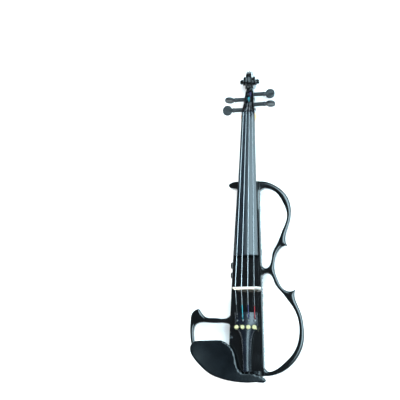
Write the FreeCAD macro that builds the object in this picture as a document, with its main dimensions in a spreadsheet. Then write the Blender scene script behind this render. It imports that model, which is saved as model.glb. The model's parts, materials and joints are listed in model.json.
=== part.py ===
import FreeCAD, Part

import math
import os

import Sketcher

V = FreeCAD.Vector

# ---------------------------------------------------------------------------
# An electric violin lying on its back.
# +X points to the treble side, +Y to the scroll, +Z out of the top.
# The origin lies on the outer face of the back cover, below the bridge.
# All sizes are in millimetres.
# ---------------------------------------------------------------------------

SIZES = [
    # alias, millimetres (or degrees), what it is
    ("string_length", 328.0, "nut edge to bridge"),
    ("cover_thick", 2.5, "back cover plate"),
    ("top_height", 38.0, "top face above the back cover's outer face"),
    ("core_top_y", 197.5, "core end face at the neck"),
    ("core_tail_y", -155.0, "core end face at the tail"),
    ("core_left_top", 19.4, "top face, bass half-width at the neck"),
    ("core_left_low", 34.5, "top face, bass half-width at the tail"),
    ("core_left_bulge", 1.6, "how far the bass edge bows out"),
    ("core_right_top", 20.9, "top face, treble half-width at the neck"),
    ("core_right_low", 31.0, "top face, treble half-width at the tail"),
    ("core_inset", 6.0, "how far the lower core steps in below the top"),
    ("core_edge", 5.0, "thickness of the top's own edge"),
    ("core_flare", 9.0, "height of the flare under the edge"),
    ("frame_depth", 16.0, "thickness of the side frames"),
    ("upper_reach", 78.8, "centre line to the upper bout's edge"),
    ("waist_reach", 48.4, "centre line to the C-bout's edge"),
    ("lower_reach", 101.2, "centre line to the lower bout's edge"),
    ("left_reach", 105.0, "centre line to the left frame's edge"),
    ("strut_width", 9.0, "strut between the two openings"),
    ("strut_y", 32.0, "strut's centre line"),
    ("overstand", 4.6, "fingerboard's underside above the top at the neck joint"),
    ("neck_pitch", 3.0, "degrees that the fingerboard leans forward"),
    ("board_length", 270.0, "fingerboard"),
    ("board_nut_width", 24.0, "fingerboard at the nut"),
    ("board_end_width", 42.0, "fingerboard at its free end"),
    ("board_edge", 5.0, "fingerboard's edge thickness"),
    ("board_radius", 42.0, "fingerboard's playing surface"),
    ("nut_length", 5.5, "nut, along the strings"),
    ("nut_rise", 0.9, "nut above the fingerboard"),
    ("neck_depth", 13.5, "neck below the fingerboard near the nut"),
    ("neck_heel_width", 30.5, "neck at the heel"),
    ("box_length", 48.0, "pegbox, from nut to throat"),
    ("box_wall", 4.2, "pegbox side wall at the nut"),
    ("throat_width", 14.5, "pegbox at the throat"),
    ("scroll_radius", 21.0, "volute, side view"),
    ("scroll_half_width", 20.5, "centre line to the scroll's eye"),
    ("peg_radius", 3.9, "peg shaft at the head-side wall"),
    ("peg_tip_radius", 3.3, "peg shaft at the far wall"),
    ("peg_reach", 39.5, "pegbox wall to the end of the peg's head"),
    ("thumb_radius", 9.6, "half-height of the peg's thumbpiece"),
    ("thumb_length", 17.5, "thumbpiece, along the peg"),
    ("bridge_height", 31.5, "bridge at its middle, above the top"),
    ("bridge_foot_width", 49.0, "across the bridge's feet"),
    ("bridge_top_width", 45.0, "across the bridge's crown"),
    ("bridge_foot_thick", 4.5, "bridge at its feet"),
    ("bridge_edge_thick", 1.6, "bridge at its top edge"),
    ("string_spread", 33.5, "outer strings at the bridge"),
    ("string_nut_spread", 16.5, "outer strings at the nut"),
    ("tail_spread", 31.6, "outer strings at the tailpiece"),
    ("tail_front_y", -44.0, "tailpiece's front end"),
    ("tail_length", 104.0, "tailpiece"),
    ("tail_front_half", 21.0, "tailpiece's front half-width"),
    ("tail_end_half", 8.0, "tailpiece's end half-width"),
    ("tail_front_rise", 12.0, "tailpiece's rim above the top, front"),
    ("tail_end_rise", 5.0, "tailpiece's rim above the top, end"),
    ("tail_crown", 7.5, "tailpiece's arch at the front"),
    ("tail_shell", 3.2, "tailpiece's wall over the tuners"),
    ("knob_radius", 3.9, "fine tuner's knob"),
    ("knob_height", 5.0, "fine tuner's knob"),
    ("tuner_screw", 1.4, "fine tuner's screw radius"),
    ("pivot_radius", 1.0, "fine tuner's pivot rod"),
    ("gut_radius", 1.1, "tailgut"),
    ("pin_shaft", 4.0, "end pin's shaft radius"),
    ("pin_head", 7.0, "end pin's head radius"),
    ("rest_gap", 7.5, "chin rest's plate above the top"),
    ("rest_thick", 9.5, "chin rest's plate"),
    ("rest_tail_y", -167.0, "chin rest's rearmost edge"),
    ("cork_thick", 2.0, "chin rest's cork pads"),
    ("barrel_radius", 3.2, "clamp barrel"),
    ("barrel_spacing", 34.0, "between the clamp barrels"),
    ("rod_radius", 1.4, "clamp's threaded rods"),
    ("tail_notch", 9.5, "height of the step under the tail"),
    ("battery_width", 26.5, "nine-volt battery"),
    ("battery_length", 46.4, "nine-volt battery without its snaps"),
    ("battery_thick", 17.5, "nine-volt battery"),
    ("cell_clear", 1.0, "room round the battery"),
    ("control_height", 12.5, "controls' axis above the rest plane"),
    ("panel_thick", 2.0, "control panel"),
    ("panel_face", 24.3, "centre line to the control panel's face"),
    ("cavity_wall", 3.3, "core's wall behind the control panel"),
    ("cavity_height", 19.5, "electronics cavity above the cover"),
    ("dial_radius", 6.0, "volume and tone knobs"),
    ("dial_length", 8.0, "volume and tone knobs"),
    ("spindle_radius", 3.0, "pot spindle"),
    ("line_bore", 3.2, "line output socket's bore radius"),
    ("phone_bore", 1.775, "headphone socket's bore radius"),
    ("switch_travel", 2.0, "power switch, each way"),
    ("screw_radius", 1.3, "cover screws"),
    ("screw_head", 2.6, "cover screws' heads"),
    ("running_fit", 0.05, "radial clearance of turning shafts"),
    ("close_fit", 0.15, "gap round fixed inserts"),
    ("free_gap", 0.4, "gap beside moving pieces"),
]

STRINGS = ["g", "d", "a", "e"]


class Size:
    """A length that keeps its number and its spreadsheet expression together."""

    def __init__(self, number, text):
        self.number = float(number)
        self.text = text

    def join(self, other, sign, result):
        return Size(result, "(%s %s %s)" % (self.text, sign, size(other).text))

    def __add__(self, other):
        return self.join(other, "+", self.number + float(other))

    def __sub__(self, other):
        return self.join(other, "-", self.number - float(other))

    def __mul__(self, other):
        return self.join(other, "*", self.number * float(other))

    def __truediv__(self, other):
        return self.join(other, "/", self.number / float(other))

    def __radd__(self, other):
        return size(other) + self

    def __rsub__(self, other):
        return size(other) - self

    def __rmul__(self, other):
        return size(other) * self

    def __neg__(self):
        return self * -1.0

    def __float__(self):
        return self.number


def size(value):
    return value if isinstance(value, Size) else Size(value, "(%.6f)" % float(value))


doc = FreeCAD.newDocument("violin")
sheet = doc.addObject("Spreadsheet::Sheet", "Sizes")


class Dimensions:
    """The driving dimensions, read back from the sheet by name."""


d = Dimensions()
for row, (alias, number, note) in enumerate(SIZES, start=1):
    sheet.set("A%d" % row, alias)
    sheet.set("B%d" % row, "%g" % number)
    sheet.set("C%d" % row, note)
    sheet.setAlias("B%d" % row, alias)
doc.recompute()
for alias, number, note in SIZES:
    setattr(d, alias, Size(sheet.get(alias), "Sizes.%s" % alias))

nodes = []


def node(obj, name):
    """Give a finished piece its name and list it for export."""
    obj.Label = name
    nodes.append(obj)
    return obj


# ---------------------------------------------------------------------------
# Building blocks
# ---------------------------------------------------------------------------

def bind(obj, path, value):
    value = size(value)
    if "." not in path:
        setattr(obj, path, value.number)
    obj.setExpression(path, value.text)


def place(obj, x, y, z, axis=None, angle=0.0):
    """Put an object at a bound position, turned about axis by angle degrees."""
    turn = FreeCAD.Rotation(axis or V(0, 0, 1), angle)
    obj.Placement = FreeCAD.Placement(V(float(x), float(y), float(z)), turn)
    for letter, value in (("x", x), ("y", y), ("z", z)):
        obj.setExpression("Placement.Base." + letter, size(value).text)
    return obj


def block(low, high):
    """A box between two opposite corners."""
    box = doc.addObject("Part::Box", "Block")
    for prop, a, b in zip(("Length", "Width", "Height"), low, high):
        bind(box, prop, size(b) - a)
    return place(box, *low)


TURNS = {
    "+x": (V(0, 1, 0), 90.0), "-x": (V(0, 1, 0), -90.0),
    "+y": (V(1, 0, 0), -90.0), "-y": (V(1, 0, 0), 90.0),
    "+z": (V(0, 0, 1), 0.0), "-z": (V(1, 0, 0), 180.0),
}


def rod(base, radius, length, way="+z"):
    """A cylinder from base, pointing along one of the axes."""
    cylinder = doc.addObject("Part::Cylinder", "Rod")
    bind(cylinder, "Radius", radius)
    bind(cylinder, "Height", length)
    return place(cylinder, *base, *TURNS[way])


def cone(base, radius, end_radius, length, way="+z"):
    """A cone from base, pointing along one of the axes."""
    taper = doc.addObject("Part::Cone", "Taper")
    bind(taper, "Radius1", radius)
    bind(taper, "Radius2", end_radius)
    bind(taper, "Height", length)
    return place(taper, *base, *TURNS[way])


def fuse(*pieces):
    if len(pieces) == 1:
        return pieces[0]
    joined = doc.addObject("Part::MultiFuse", "Joined")
    joined.Shapes = list(pieces)
    return joined


def cut(base, *tools):
    result = doc.addObject("Part::Cut", "Cut")
    result.Base = base
    result.Tool = fuse(*tools)
    return result


def shaped(shape):
    """A piece whose shape is worked out here from the sheet's sizes."""
    feature = doc.addObject("Part::Feature", "Shaped")
    feature.Shape = shape
    return feature


def sketch_plane(body, role):
    for plane in body.Origin.OriginFeatures:
        if plane.Role == role:
            return plane
    raise ValueError(role)


def outline_sketch(body, role, corners):
    """A closed polygon whose corners are held by named sizes."""
    sketch = body.newObject("Sketcher::SketchObject", "Outline")
    sketch.AttachmentSupport = [(sketch_plane(body, role), "")]
    sketch.MapMode = "FlatFace"
    count = len(corners)
    for i, (a, b) in enumerate(corners):
        c, e = corners[(i + 1) % count]
        sketch.addGeometry(Part.LineSegment(V(float(a), float(b), 0), V(float(c), float(e), 0)), False)
    for i in range(count):
        sketch.addConstraint(Sketcher.Constraint("Coincident", i, 2, (i + 1) % count, 1))
    for i, pair in enumerate(corners):
        for kind, axis_id, value in (("DistanceX", -2, pair[0]), ("DistanceY", -1, pair[1])):
            if abs(float(value)) < 1e-9:
                sketch.addConstraint(Sketcher.Constraint("PointOnObject", i, 1, axis_id))
                continue
            number = sketch.addConstraint(
                Sketcher.Constraint(kind, -1, 1, i, 1, float(value)))
            sketch.setExpression("Constraints[%d]" % number, size(value).text)
    return sketch


def turned(profile, base, way="+z"):
    """A turned piece: profile is (radius, height) pairs about the piece's own axis."""
    body = doc.addObject("PartDesign::Body", "Turned")
    sketch = outline_sketch(body, "XZ_Plane", profile)
    revolution = body.newObject("PartDesign::Revolution", "Revolution")
    revolution.Profile = sketch
    revolution.ReferenceAxis = (sketch, ["V_Axis"])
    revolution.Angle = 360.0
    sketch.Visibility = False
    body.Tip = revolution
    return place(body, *base, *TURNS[way])


def plate(corners, base, thick, holes=()):
    """A flat plate of a polygon's outline; holes are (x, y, radius)."""
    body = doc.addObject("PartDesign::Body", "Plate")
    sketch = outline_sketch(body, "XY_Plane", corners)
    pad = body.newObject("PartDesign::Pad", "Pad")
    pad.Profile = sketch
    bind(pad, "Length", thick)
    body.Tip = pad
    place(body, *base)
    if not holes:
        return body
    return cut(body, *[rod((base[0] + x, base[1] + y, base[2]), r, thick) for x, y, r in holes])


def smooth(points):
    """One smooth edge through the points."""
    curve = Part.BSplineCurve()
    curve.interpolate([V(float(x), float(y), 0) for x, y in points])
    return curve.toShape()


def straight(points):
    points = [V(float(x), float(y), 0) for x, y in points]
    return [Part.makeLine(a, b) for a, b in zip(points, points[1:])]


def slab(edges, low, high):
    """Extrude a closed outline between two heights."""
    face = Part.Face(Part.Wire(edges))
    face.translate(V(0, 0, float(low)))
    return face.extrude(V(0, 0, float(high) - float(low)))


def tube(points, radius, bends):
    """A round wire along straight runs that are joined by tangent arcs of the given radii."""
    points = [V(*[float(c) for c in p]) for p in points]
    edges = []
    start = points[0]
    for before, corner, after, bend in zip(points, points[1:], points[2:], bends):
        to_a = (before - corner).normalize()
        to_b = (after - corner).normalize()
        half = to_a.getAngle(to_b) / 2
        back = bend / math.tan(half)
        a = corner + to_a * back
        b = corner + to_b * back
        middle = corner + (to_a + to_b).normalize() * (bend / math.sin(half) - bend)
        edges.append(Part.makeLine(start, a))
        edges.append(Part.Arc(a, middle, b).toShape())
        start = b
    edges.append(Part.makeLine(start, points[-1]))
    path = Part.Wire(edges)
    circle = Part.makeCircle(float(radius), points[0], points[1] - points[0])
    return path.makePipeShell([Part.Wire(circle)], True, False)


# ---------------------------------------------------------------------------
# Shared lines and levels
# ---------------------------------------------------------------------------

top = d.top_height
core_low = d.cover_thick
lower_top = top - d.core_edge - d.core_flare
pitch = math.tan(math.radians(d.neck_pitch.number))
nut_y = d.string_length
board_end_y = d.string_length - d.board_length


def board_under(y):
    """Height of the fingerboard's underside at y."""
    return top + d.overstand + (d.core_top_y - y) * pitch


def board_width(y):
    """Fingerboard's width at y."""
    share = (nut_y - y) / d.board_length
    return d.board_nut_width + (d.board_end_width - d.board_nut_width) * share


def core_left(y):
    """Bass edge of the top face at y, as a positive distance."""
    along = (d.core_top_y - y) / (d.core_top_y - d.core_tail_y)
    span = d.core_left_low - d.core_left_top
    return d.core_left_top + span * along + d.core_left_bulge * along * (1 - along) * 4


def core_right(y):
    """Treble edge of the top face at y."""
    along = (d.core_top_y - y) / (d.core_top_y - d.core_tail_y)
    return d.core_right_top + (d.core_right_low - d.core_right_top) * along


def bridge_x(i):
    return d.string_spread * (i / 3.0 - 0.5)


STRING_DROP = {"g": 1.5, "d": 0.0, "a": 0.5, "e": 3.0}
STRING_RADIUS = {"g": 0.42, "d": 0.42, "a": 0.36, "e": 0.2}
PEG_Y = {"g": 9.0, "e": 20.0, "d": 31.0, "a": 41.5}
PEG_DROP = {"g": 9.0, "e": 13.0, "d": 15.5, "a": 18.5}
PEG_WAY = {"g": "-x", "d": "-x", "e": "+x", "a": "+x"}
# degrees that each thumbpiece is turned from lying flat
PEG_REST = {"g": 8.0, "d": 75.0, "e": 74.0, "a": -6.0}


# ---------------------------------------------------------------------------
# Core: top slab, flare and lower box, with its pockets
# ---------------------------------------------------------------------------

def core_edges(inset, tail_y=None, end_y=None):
    """The core's plan outline, stepped in by inset."""
    tail = float(d.core_tail_y if tail_y is None else tail_y)
    end = float(d.core_top_y if end_y is None else end_y)
    middle = (tail + end) / 2
    left = [(-float(core_left(y)) + inset, y) for y in (end, middle, tail)]
    right = [(float(core_right(y)) - inset, y) for y in (tail, end)]
    return [smooth(left)] + straight([left[-1], right[0], right[1], left[0]])


def hook_edges():
    """The blunt horn at the bass side of the neck joint."""
    x = -d.core_left_top.number
    y = d.core_top_y.number
    nose = smooth([(x - 4, y), (x - 13, y - 2.5), (x - 17, y - 6.5), (x - 14.5, y - 11),
                   (x - 9, y - 13), (x - 1, y - 14.5)])
    return [nose] + straight([(x - 1, y - 14.5), (x + 6, y - 14.5), (x + 6, y), (x - 4, y)])


inset = d.core_inset.number
slab_low = top - d.core_edge
under = Part.Wire(core_edges(0.0))
under.translate(V(0, 0, float(slab_low)))
lower = Part.Wire(core_edges(inset))
lower.translate(V(0, 0, float(lower_top)))
core_shape = slab(core_edges(0.0), slab_low, top)
core_shape = core_shape.fuse(Part.makeLoft([lower, under], True, True))
core_shape = core_shape.fuse(slab(core_edges(inset), core_low, lower_top))
core_shape = core_shape.fuse(slab(hook_edges(), top - d.frame_depth, top)).removeSplitter()
core_block = shaped(core_shape)

# battery compartment, electronics cavity and the channel between them
battery_x = -(d.battery_width / 2) - 1.5
battery_y = size(-119)
cell_low = (battery_x - d.cell_clear, battery_y - d.cell_clear * 2, core_low)
cell_high = (battery_x + d.battery_width + d.cell_clear,
             battery_y + d.battery_length + 11.0, core_low + d.battery_thick + d.cell_clear * 1.5)
cell = block(cell_low, cell_high)
cavity_left = -d.panel_face + d.panel_thick + d.cavity_wall
cavity_top = core_low + d.cavity_height
controls_low = (cavity_left, size(-45), core_low)
controls_high = (size(14), size(58), cavity_top)
controls = block(controls_low, controls_high)
electronics_low = (size(-12.5), size(55), core_low)
electronics_high = (size(12.5), size(132), cavity_top)
electronics = block(electronics_low, electronics_high)
channel = block((size(2), cell_high[1] - 3.0, core_low + 3), (size(9), size(-40), core_low + 9))

# seats for the neck's tenon, the tail clamp, the control panel and the end pin
tenon_half = size(10)
tenon_y = d.core_top_y - 36
tenon_low = size(12)
tenon_high = top - 7
mortise = block((-tenon_half - d.close_fit, tenon_y - d.close_fit, tenon_low - d.close_fit),
                (tenon_half + d.close_fit, d.core_top_y + 1, tenon_high + d.close_fit))
notch_y = d.core_tail_y + 20
notch = block((size(-60), d.core_tail_y - 1, core_low - 1), (size(60), notch_y, core_low + d.tail_notch))
panel_low_y = size(-40)
panel_high_y = size(56)
panel_low = core_low + 1.5
panel_high = lower_top - 2
panel_inner = -d.panel_face + d.panel_thick
panel_seat = block((size(-60), panel_low_y - d.close_fit, panel_low - d.close_fit),
                   (panel_inner, panel_high_y + d.close_fit, panel_high + d.close_fit))
pin_z = core_low + d.tail_notch + 12
pin_seat = rod((size(0), d.core_tail_y - 1, pin_z), d.pin_shaft, size(25), "+y")

# control panel stations along the bass side, from the tail
control_z = d.control_height
STATIONS = {"line": -27.0, "phone": -8.0, "switch": 10.0, "tone": 27.0, "volume": 45.0}
LINE_BUSH = d.line_bore + 1.9
PHONE_BUSH = d.phone_bore + 1.5
POT_BUSH = d.spindle_radius + 0.9
BUSHES = {"line": LINE_BUSH, "phone": PHONE_BUSH, "tone": POT_BUSH, "volume": POT_BUSH}


def bush_holes():
    """Holes for the sockets' and pots' bushes through panel and wall."""
    start = -d.panel_face - 1
    length = d.panel_thick + d.cavity_wall + 2
    return [rod((start, size(STATIONS[key]), control_z), radius + d.close_fit, length, "+x")
            for key, radius in BUSHES.items()]


slot_half = size(1.6)
slot_run = d.switch_travel + 2.5 + d.free_gap


def switch_slot():
    """The slot that the power switch's slider travels in."""
    y = STATIONS["switch"]
    return block((-d.panel_face - 1, y - slot_run, control_z - slot_half - d.free_gap),
                 (cavity_left + 1, y + slot_run, control_z + slot_half + d.free_gap))


# fasteners: back cover screws, neck screws and dowels of the side frames
COVER_SCREWS = [(-9, 188), (9, 188), (-16, 98), (16, 98), (-20, -52), (17, -52), (-22, -128), (19, -128)]
cover_screw_length = size(10)
NECK_SCREWS = [(0, 13), (0, 27)]
neck_screw_radius = size(2)
dowel_radius = size(2.5)
dowel_length = size(16)
dowel_gap = d.close_fit / 3
light_x = -core_left(-87) + 3.4
light_y = size(-87.4)
light_radius = size(1.9)
cable_x = size(19.2)
cable_y = size(-5)
cable_radius = size(0.8)
board_z = core_low + 12
board_thick = cable_radius * 2
board_tail_y = size(62)
cable_end_z = board_z + cable_radius
cable_slant = math.tan(math.radians(25.3))


def cable_line(z):
    """Where the pickup cable's slanting hole passes the height z."""
    return cable_x - (top - z) * cable_slant, cable_y, z


def cable_hole():
    """The drilled hole that takes the pickup's cable into the cavity."""
    low, high = [V(*[float(c) for c in cable_line(z)]) for z in (cavity_top - 2, top + 1)]
    radius = float(cable_radius + d.close_fit)
    return shaped(Part.makeCylinder(radius, low.distanceToPoint(high), low, high - low))


def dowel(y, side, extra=0.0):
    """A dowel across the joint between core and frame, or with extra its hole."""
    edge = core_right(y) if side > 0 else -core_left(y)
    half = dowel_length / 2 + extra
    return rod((edge - half, size(y), top - 4.5), dowel_radius + extra, half * 2, "+x")


DOWELS = [(32.0, 1), (-147.0, 1), (-57.0, -1), (-145.0, -1), (188.0, 1)]


def screw_hole(x, y, low, length, radius):
    return rod((size(x), size(y), low), radius + d.close_fit / 3, length)


core_tools = [cell, controls, electronics, channel, mortise, notch, panel_seat, pin_seat]
core_tools += bush_holes() + [switch_slot()]
core_tools += [screw_hole(x, y, core_low - 1, cover_screw_length, d.screw_radius)
               for x, y in COVER_SCREWS]
core_tools += [screw_hole(x, d.core_top_y - y, core_low - 1, size(30), neck_screw_radius)
               for x, y in NECK_SCREWS]
core_tools += [screw_hole(x, d.core_top_y - y, core_low - 1, size(4.2), neck_screw_radius * 2)
               for x, y in NECK_SCREWS]
core_tools += [dowel(y, side, dowel_gap) for y, side in DOWELS]
core_tools += [rod((light_x, light_y, top - 8), light_radius, size(9)), cable_hole()]
node(cut(core_block, *core_tools), "body_core")


# ---------------------------------------------------------------------------
# Side frames
# ---------------------------------------------------------------------------

def right_outline():
    """Outer edge of the treble frame: bout, horn, C-bout, horn, bout, tail."""
    y0 = d.core_top_y.number
    y1 = d.core_tail_y.number
    up = d.upper_reach.number
    waist = d.waist_reach.number
    low = d.lower_reach.number
    upper = smooth([(20, y0), (up * 0.44, y0 - 1.6), (up * 0.68, y0 - 10.8), (up * 0.875, y0 - 25.3),
                    (up * 0.975, y0 - 42), (up, y0 - 56.5), (up * 0.965, y0 - 78),
                    (up * 0.895, y0 - 95.5), (up * 0.87, y0 - 110), (up * 0.93, y0 - 121.8)])
    waist_line = smooth([(up * 0.93, y0 - 121.8), (up * 0.83, y0 - 121.5), (waist + 8.5, y0 - 128),
                         (waist + 2.2, y0 - 141), (waist, y0 - 156), (waist + 2, y0 - 171),
                         (waist + 7.5, y0 - 185), (waist + 16, y0 - 198), (low * 0.74, y0 - 202.5),
                         (low * 0.858, y0 - 198.8)])
    lower_line = smooth([(low * 0.858, y0 - 198.8), (low * 0.836, y0 - 211), (low * 0.873, y0 - 223.8),
                         (low * 0.934, y0 - 238.2), (low * 0.985, y0 - 258.7), (low, y0 - 277.5),
                         (low * 0.985, y0 - 296), (low * 0.913, y0 - 315), (low * 0.79, y0 - 332),
                         (low * 0.62, y0 - 345), (low * 0.46, y1 + 1.4), (26, y1)])
    return [upper, waist_line, lower_line] + straight([(26, y1), (10, y1), (10, y0), (20, y0)])


def upper_opening():
    y0 = d.core_top_y.number
    up = d.upper_reach.number
    waist = d.waist_reach.number
    foot = float(d.strut_y + d.strut_width / 2)
    edge = [(float(core_right(y)) - 3, y) for y in (foot + 9, y0 - 22)]
    loop = smooth([edge[1], (edge[1][0] + 5, y0 - 16.3), (up * 0.37, y0 - 13.8), (up * 0.495, y0 - 15.2),
                   (up * 0.61, y0 - 19.6), (up * 0.70, y0 - 26.5), (up * 0.80, y0 - 39.5),
                   (up * 0.875, y0 - 53), (up * 0.903, y0 - 65), (up * 0.875, y0 - 77.5),
                   (up * 0.79, y0 - 93.5), (up * 0.675, y0 - 116), (waist - 3.2, y0 - 133),
                   (waist - 6.2, y0 - 150), (waist - 11, foot + 2.2), (waist - 15.7, foot),
                   (edge[0][0] + 5.2, foot + 3), edge[0]])
    return [loop] + straight([edge[0], edge[1]])


def lower_opening():
    y0 = d.core_top_y.number
    y1 = d.core_tail_y.number
    waist = d.waist_reach.number
    low = d.lower_reach.number
    head = float(d.strut_y - d.strut_width / 2)
    edge = [(float(core_right(y)) - 3, y) for y in (y1 + 22, head - 9)]
    loop = smooth([edge[1], (edge[1][0] + 5.4, head - 2.6), (waist - 13.6, head),
                   (waist - 5.6, head - 4.5), (waist - 1.6, head - 12.5), (waist + 2.3, head - 22),
                   (waist + 11.5, head - 33), (low * 0.70, y0 - 217), (low * 0.794, y0 - 230),
                   (low * 0.872, y0 - 246), (low * 0.908, y0 - 262), (low * 0.908, y0 - 280.5),
                   (low * 0.868, y0 - 299), (low * 0.774, y0 - 316), (low * 0.62, y0 - 331.5),
                   (low * 0.47, y1 + 10.4), (low * 0.36, y1 + 9), (edge[0][0] + 4.6, y1 + 14), edge[0]])
    return [loop] + straight([edge[0], edge[1]])


def left_outline():
    """The bass frame's arm, its horn, the bout and the tail."""
    y1 = d.core_tail_y.number
    reach = d.left_reach.number
    inner = -float(core_left(-45))
    arm = smooth([(inner, -42), (inner - 2, -49), (inner - 8, -52.6), (-reach * 0.57, -51.8),
                  (-reach * 0.73, -50), (-reach * 0.793, -44), (-reach * 0.842, -35.5)])
    bout = smooth([(-reach * 0.842, -35.5), (-reach * 0.91, -37), (-reach * 0.978, -44),
                   (-reach * 0.998, -54), (-reach, -76), (-reach * 0.975, -98), (-reach * 0.91, -114),
                   (-reach * 0.79, -130), (-reach * 0.62, -143), (-reach * 0.45, y1 + 3), (-26, y1)])
    return [arm, bout] + straight([(-26, y1), (-10, y1), (-10, -42), (inner, -42)])


def left_opening():
    y1 = d.core_tail_y.number
    reach = d.left_reach.number
    edge = [(-float(core_left(y)) + 3, y) for y in (y1 + 21, -68)]
    loop = smooth([edge[1], (edge[1][0] - 5.5, -63.2), (edge[1][0] - 11, -61.8), (-reach * 0.62, -61.2),
                   (-reach * 0.83, -60.9), (-reach * 0.908, -65), (-reach * 0.938, -76),
                   (-reach * 0.92, -93), (-reach * 0.86, -108), (-reach * 0.74, -122),
                   (-reach * 0.58, -133.5), (edge[0][0] - 11, y1 + 13), (edge[0][0] - 4.5, y1 + 15.5),
                   edge[0]])
    return [loop] + straight([edge[0], edge[1]])


def frame_piece(outline, openings):
    """A frame plate with its openings."""
    solid = slab(outline, top - d.frame_depth, top)
    for opening in openings:
        solid = solid.cut(slab(opening, top - d.frame_depth - 1, top + 1))
    return shaped(solid)


right_plain = frame_piece(right_outline(), [upper_opening(), lower_opening()])
left_plain = frame_piece(left_outline(), [left_opening()])
right_holes = [dowel(y, side, dowel_gap) for y, side in DOWELS if side > 0]
left_holes = [dowel(y, side, dowel_gap) for y, side in DOWELS if side < 0]
node(cut(right_plain, core_block, *right_holes), "right_frame")
node(cut(left_plain, core_block, *left_holes), "left_frame")
node(fuse(*[dowel(y, s) for y, s in DOWELS]), "frame_dowels")


# ---------------------------------------------------------------------------
# Neck with pegbox and scroll, fingerboard and nut
# ---------------------------------------------------------------------------

def bowl_section(y, width, face, depth):
    """A neck section at y: flat on top, rounded below."""
    half = float(width) / 2
    points = []
    for step in range(9):
        angle = math.pi * step / 8
        across = math.copysign(abs(math.cos(angle)) ** 0.8, math.cos(angle))
        points.append(V(half * across, y, float(face) - float(depth) * math.sin(angle) ** 0.8))
    curve = Part.BSplineCurve()
    curve.interpolate(points)
    return Part.Wire([curve.toShape(), Part.makeLine(points[-1], points[0])])


def box_section(y, half, low, high):
    corners = [V(-half, y, low), V(half, y, low), V(half, y, high), V(-half, y, high), V(-half, y, low)]
    return Part.makePolygon(corners)


def arch_section(y, half, rim, crown, base):
    """A section with an arched top over straight sides."""
    left = V(-half, y, rim)
    right = V(half, y, rim)
    arch = Part.Arc(left, V(0, y, rim + crown), right).toShape()
    low_left = V(-half, y, base)
    low_right = V(half, y, base)
    return Part.Wire([arch, Part.makeLine(right, low_right), Part.makeLine(low_right, low_left),
                      Part.makeLine(low_left, left)])


def crown_of(half, radius):
    """Height of an arc of radius over a chord of twice half."""
    return radius - math.sqrt(radius ** 2 - half ** 2)


def board_section(y):
    half = float(board_width(y)) / 2
    base = float(board_under(y))
    rim = base + d.board_edge.number
    return arch_section(y, half, rim, crown_of(half, d.board_radius.number), base)


board_face = nut_y - d.nut_length
fingerboard_shape = Part.makeLoft([board_section(float(board_face)), board_section(float(board_end_y))],
                                  True, True)
node(shaped(fingerboard_shape), "fingerboard")


def nut_section(y):
    half = d.board_nut_width.number / 2
    base = float(board_under(y))
    rim = float(board_under(nut_y)) + d.board_edge.number + d.nut_rise.number
    return arch_section(y, half, rim, crown_of(half, d.board_radius.number), base)


def string_nut_point(i):
    """String centre on the nut's edge."""
    x = d.string_nut_spread.number * (i / 3.0 - 0.5)
    half = d.board_nut_width.number / 2
    radius = d.board_radius.number
    rim = float(board_under(nut_y)) + d.board_edge.number + d.nut_rise.number
    z = rim + crown_of(half, radius) - crown_of(abs(x), radius)
    return V(x, nut_y.number, z + STRING_RADIUS[STRINGS[i]] - 0.35)


nut_blank = shaped(Part.makeLoft([nut_section(nut_y.number + 1.5), nut_section(float(board_face))],
                                 True, True))

box_end_y = float(nut_y + d.box_length)
core_end_y = d.core_top_y.number
heel_y = core_end_y + 26
throat_half = d.throat_width.number / 2
nut_half = d.board_nut_width.number / 2
nut_base = float(board_under(nut_y))
scroll_y = box_end_y + d.scroll_radius.number - 4
scroll_z = d.scroll_radius.number


def neck_shaft():
    low_y = heel_y
    sections = []
    for share, extra in ((0.0, 3.5), (0.4, 1.0), (0.8, 0.0), (1.0, 0.6)):
        y = low_y + (nut_y.number + 1.5 - low_y) * share
        width = float(board_width(y)) - 0.4
        sections.append(bowl_section(y, width, board_under(y), d.neck_depth + extra))
    return Part.makeLoft(sections, True, False)


def neck_heel():
    sections = []
    for share, deep in ((0.0, 37.0), (0.35, 33.0), (0.7, 22.0), (1.0, 17.0)):
        y = core_end_y + (heel_y - core_end_y) * share
        sections.append(bowl_section(y, d.neck_heel_width - 2 * share, board_under(y), deep))
    return Part.makeLoft(sections, True, False)


def pegbox():
    start = nut_y.number + 1.5
    stations = [(start, nut_half, nut_base - d.neck_depth.number - 2, nut_base + 3.0),
                (start + 16, nut_half - 2.2, nut_base - 24.5, nut_base - 1.5),
                (start + 33, nut_half - 4.0, nut_base - 29.5, nut_base - 6.5),
                (box_end_y, throat_half, nut_base - 30.5, nut_base - 11)]
    return Part.makeLoft([box_section(*station) for station in stations], True, True)


def string_slot():
    start = nut_y.number + 1.5
    wall = d.box_wall.number
    stations = [(start, nut_half - wall, nut_base - 11, nut_base + 8),
                (start + 15, nut_half - 2.2 - wall, nut_base - 20.5, nut_base + 5),
                (start + 32, nut_half - 4.0 - wall + 0.4, nut_base - 25, nut_base),
                (box_end_y - 1, throat_half - wall + 1.2, nut_base - 26, nut_base - 5)]
    return Part.makeLoft([box_section(*station) for station in stations], True, True)


def volute():
    """The scroll as stepped turns about its eye."""
    centre_y = scroll_y
    turns = ((1.0, 0.36, 0.0), (0.74, 0.56, 1.2), (0.5, 0.78, 2.0), (0.26, 1.0, 2.2))
    solid = None
    for share, reach, shift in turns:
        radius = d.scroll_radius.number * share
        half = d.scroll_half_width.number * reach
        turn = Part.makeCylinder(radius, half * 2, V(-half, centre_y + shift, scroll_z + shift * 0.4),
                                 V(1, 0, 0))
        solid = turn if solid is None else solid.fuse(turn)
    return solid


def peg_axis(name):
    """Where a peg's axis crosses the middle of the pegbox."""
    return nut_y + PEG_Y[name], size(nut_base - PEG_DROP[name])


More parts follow.
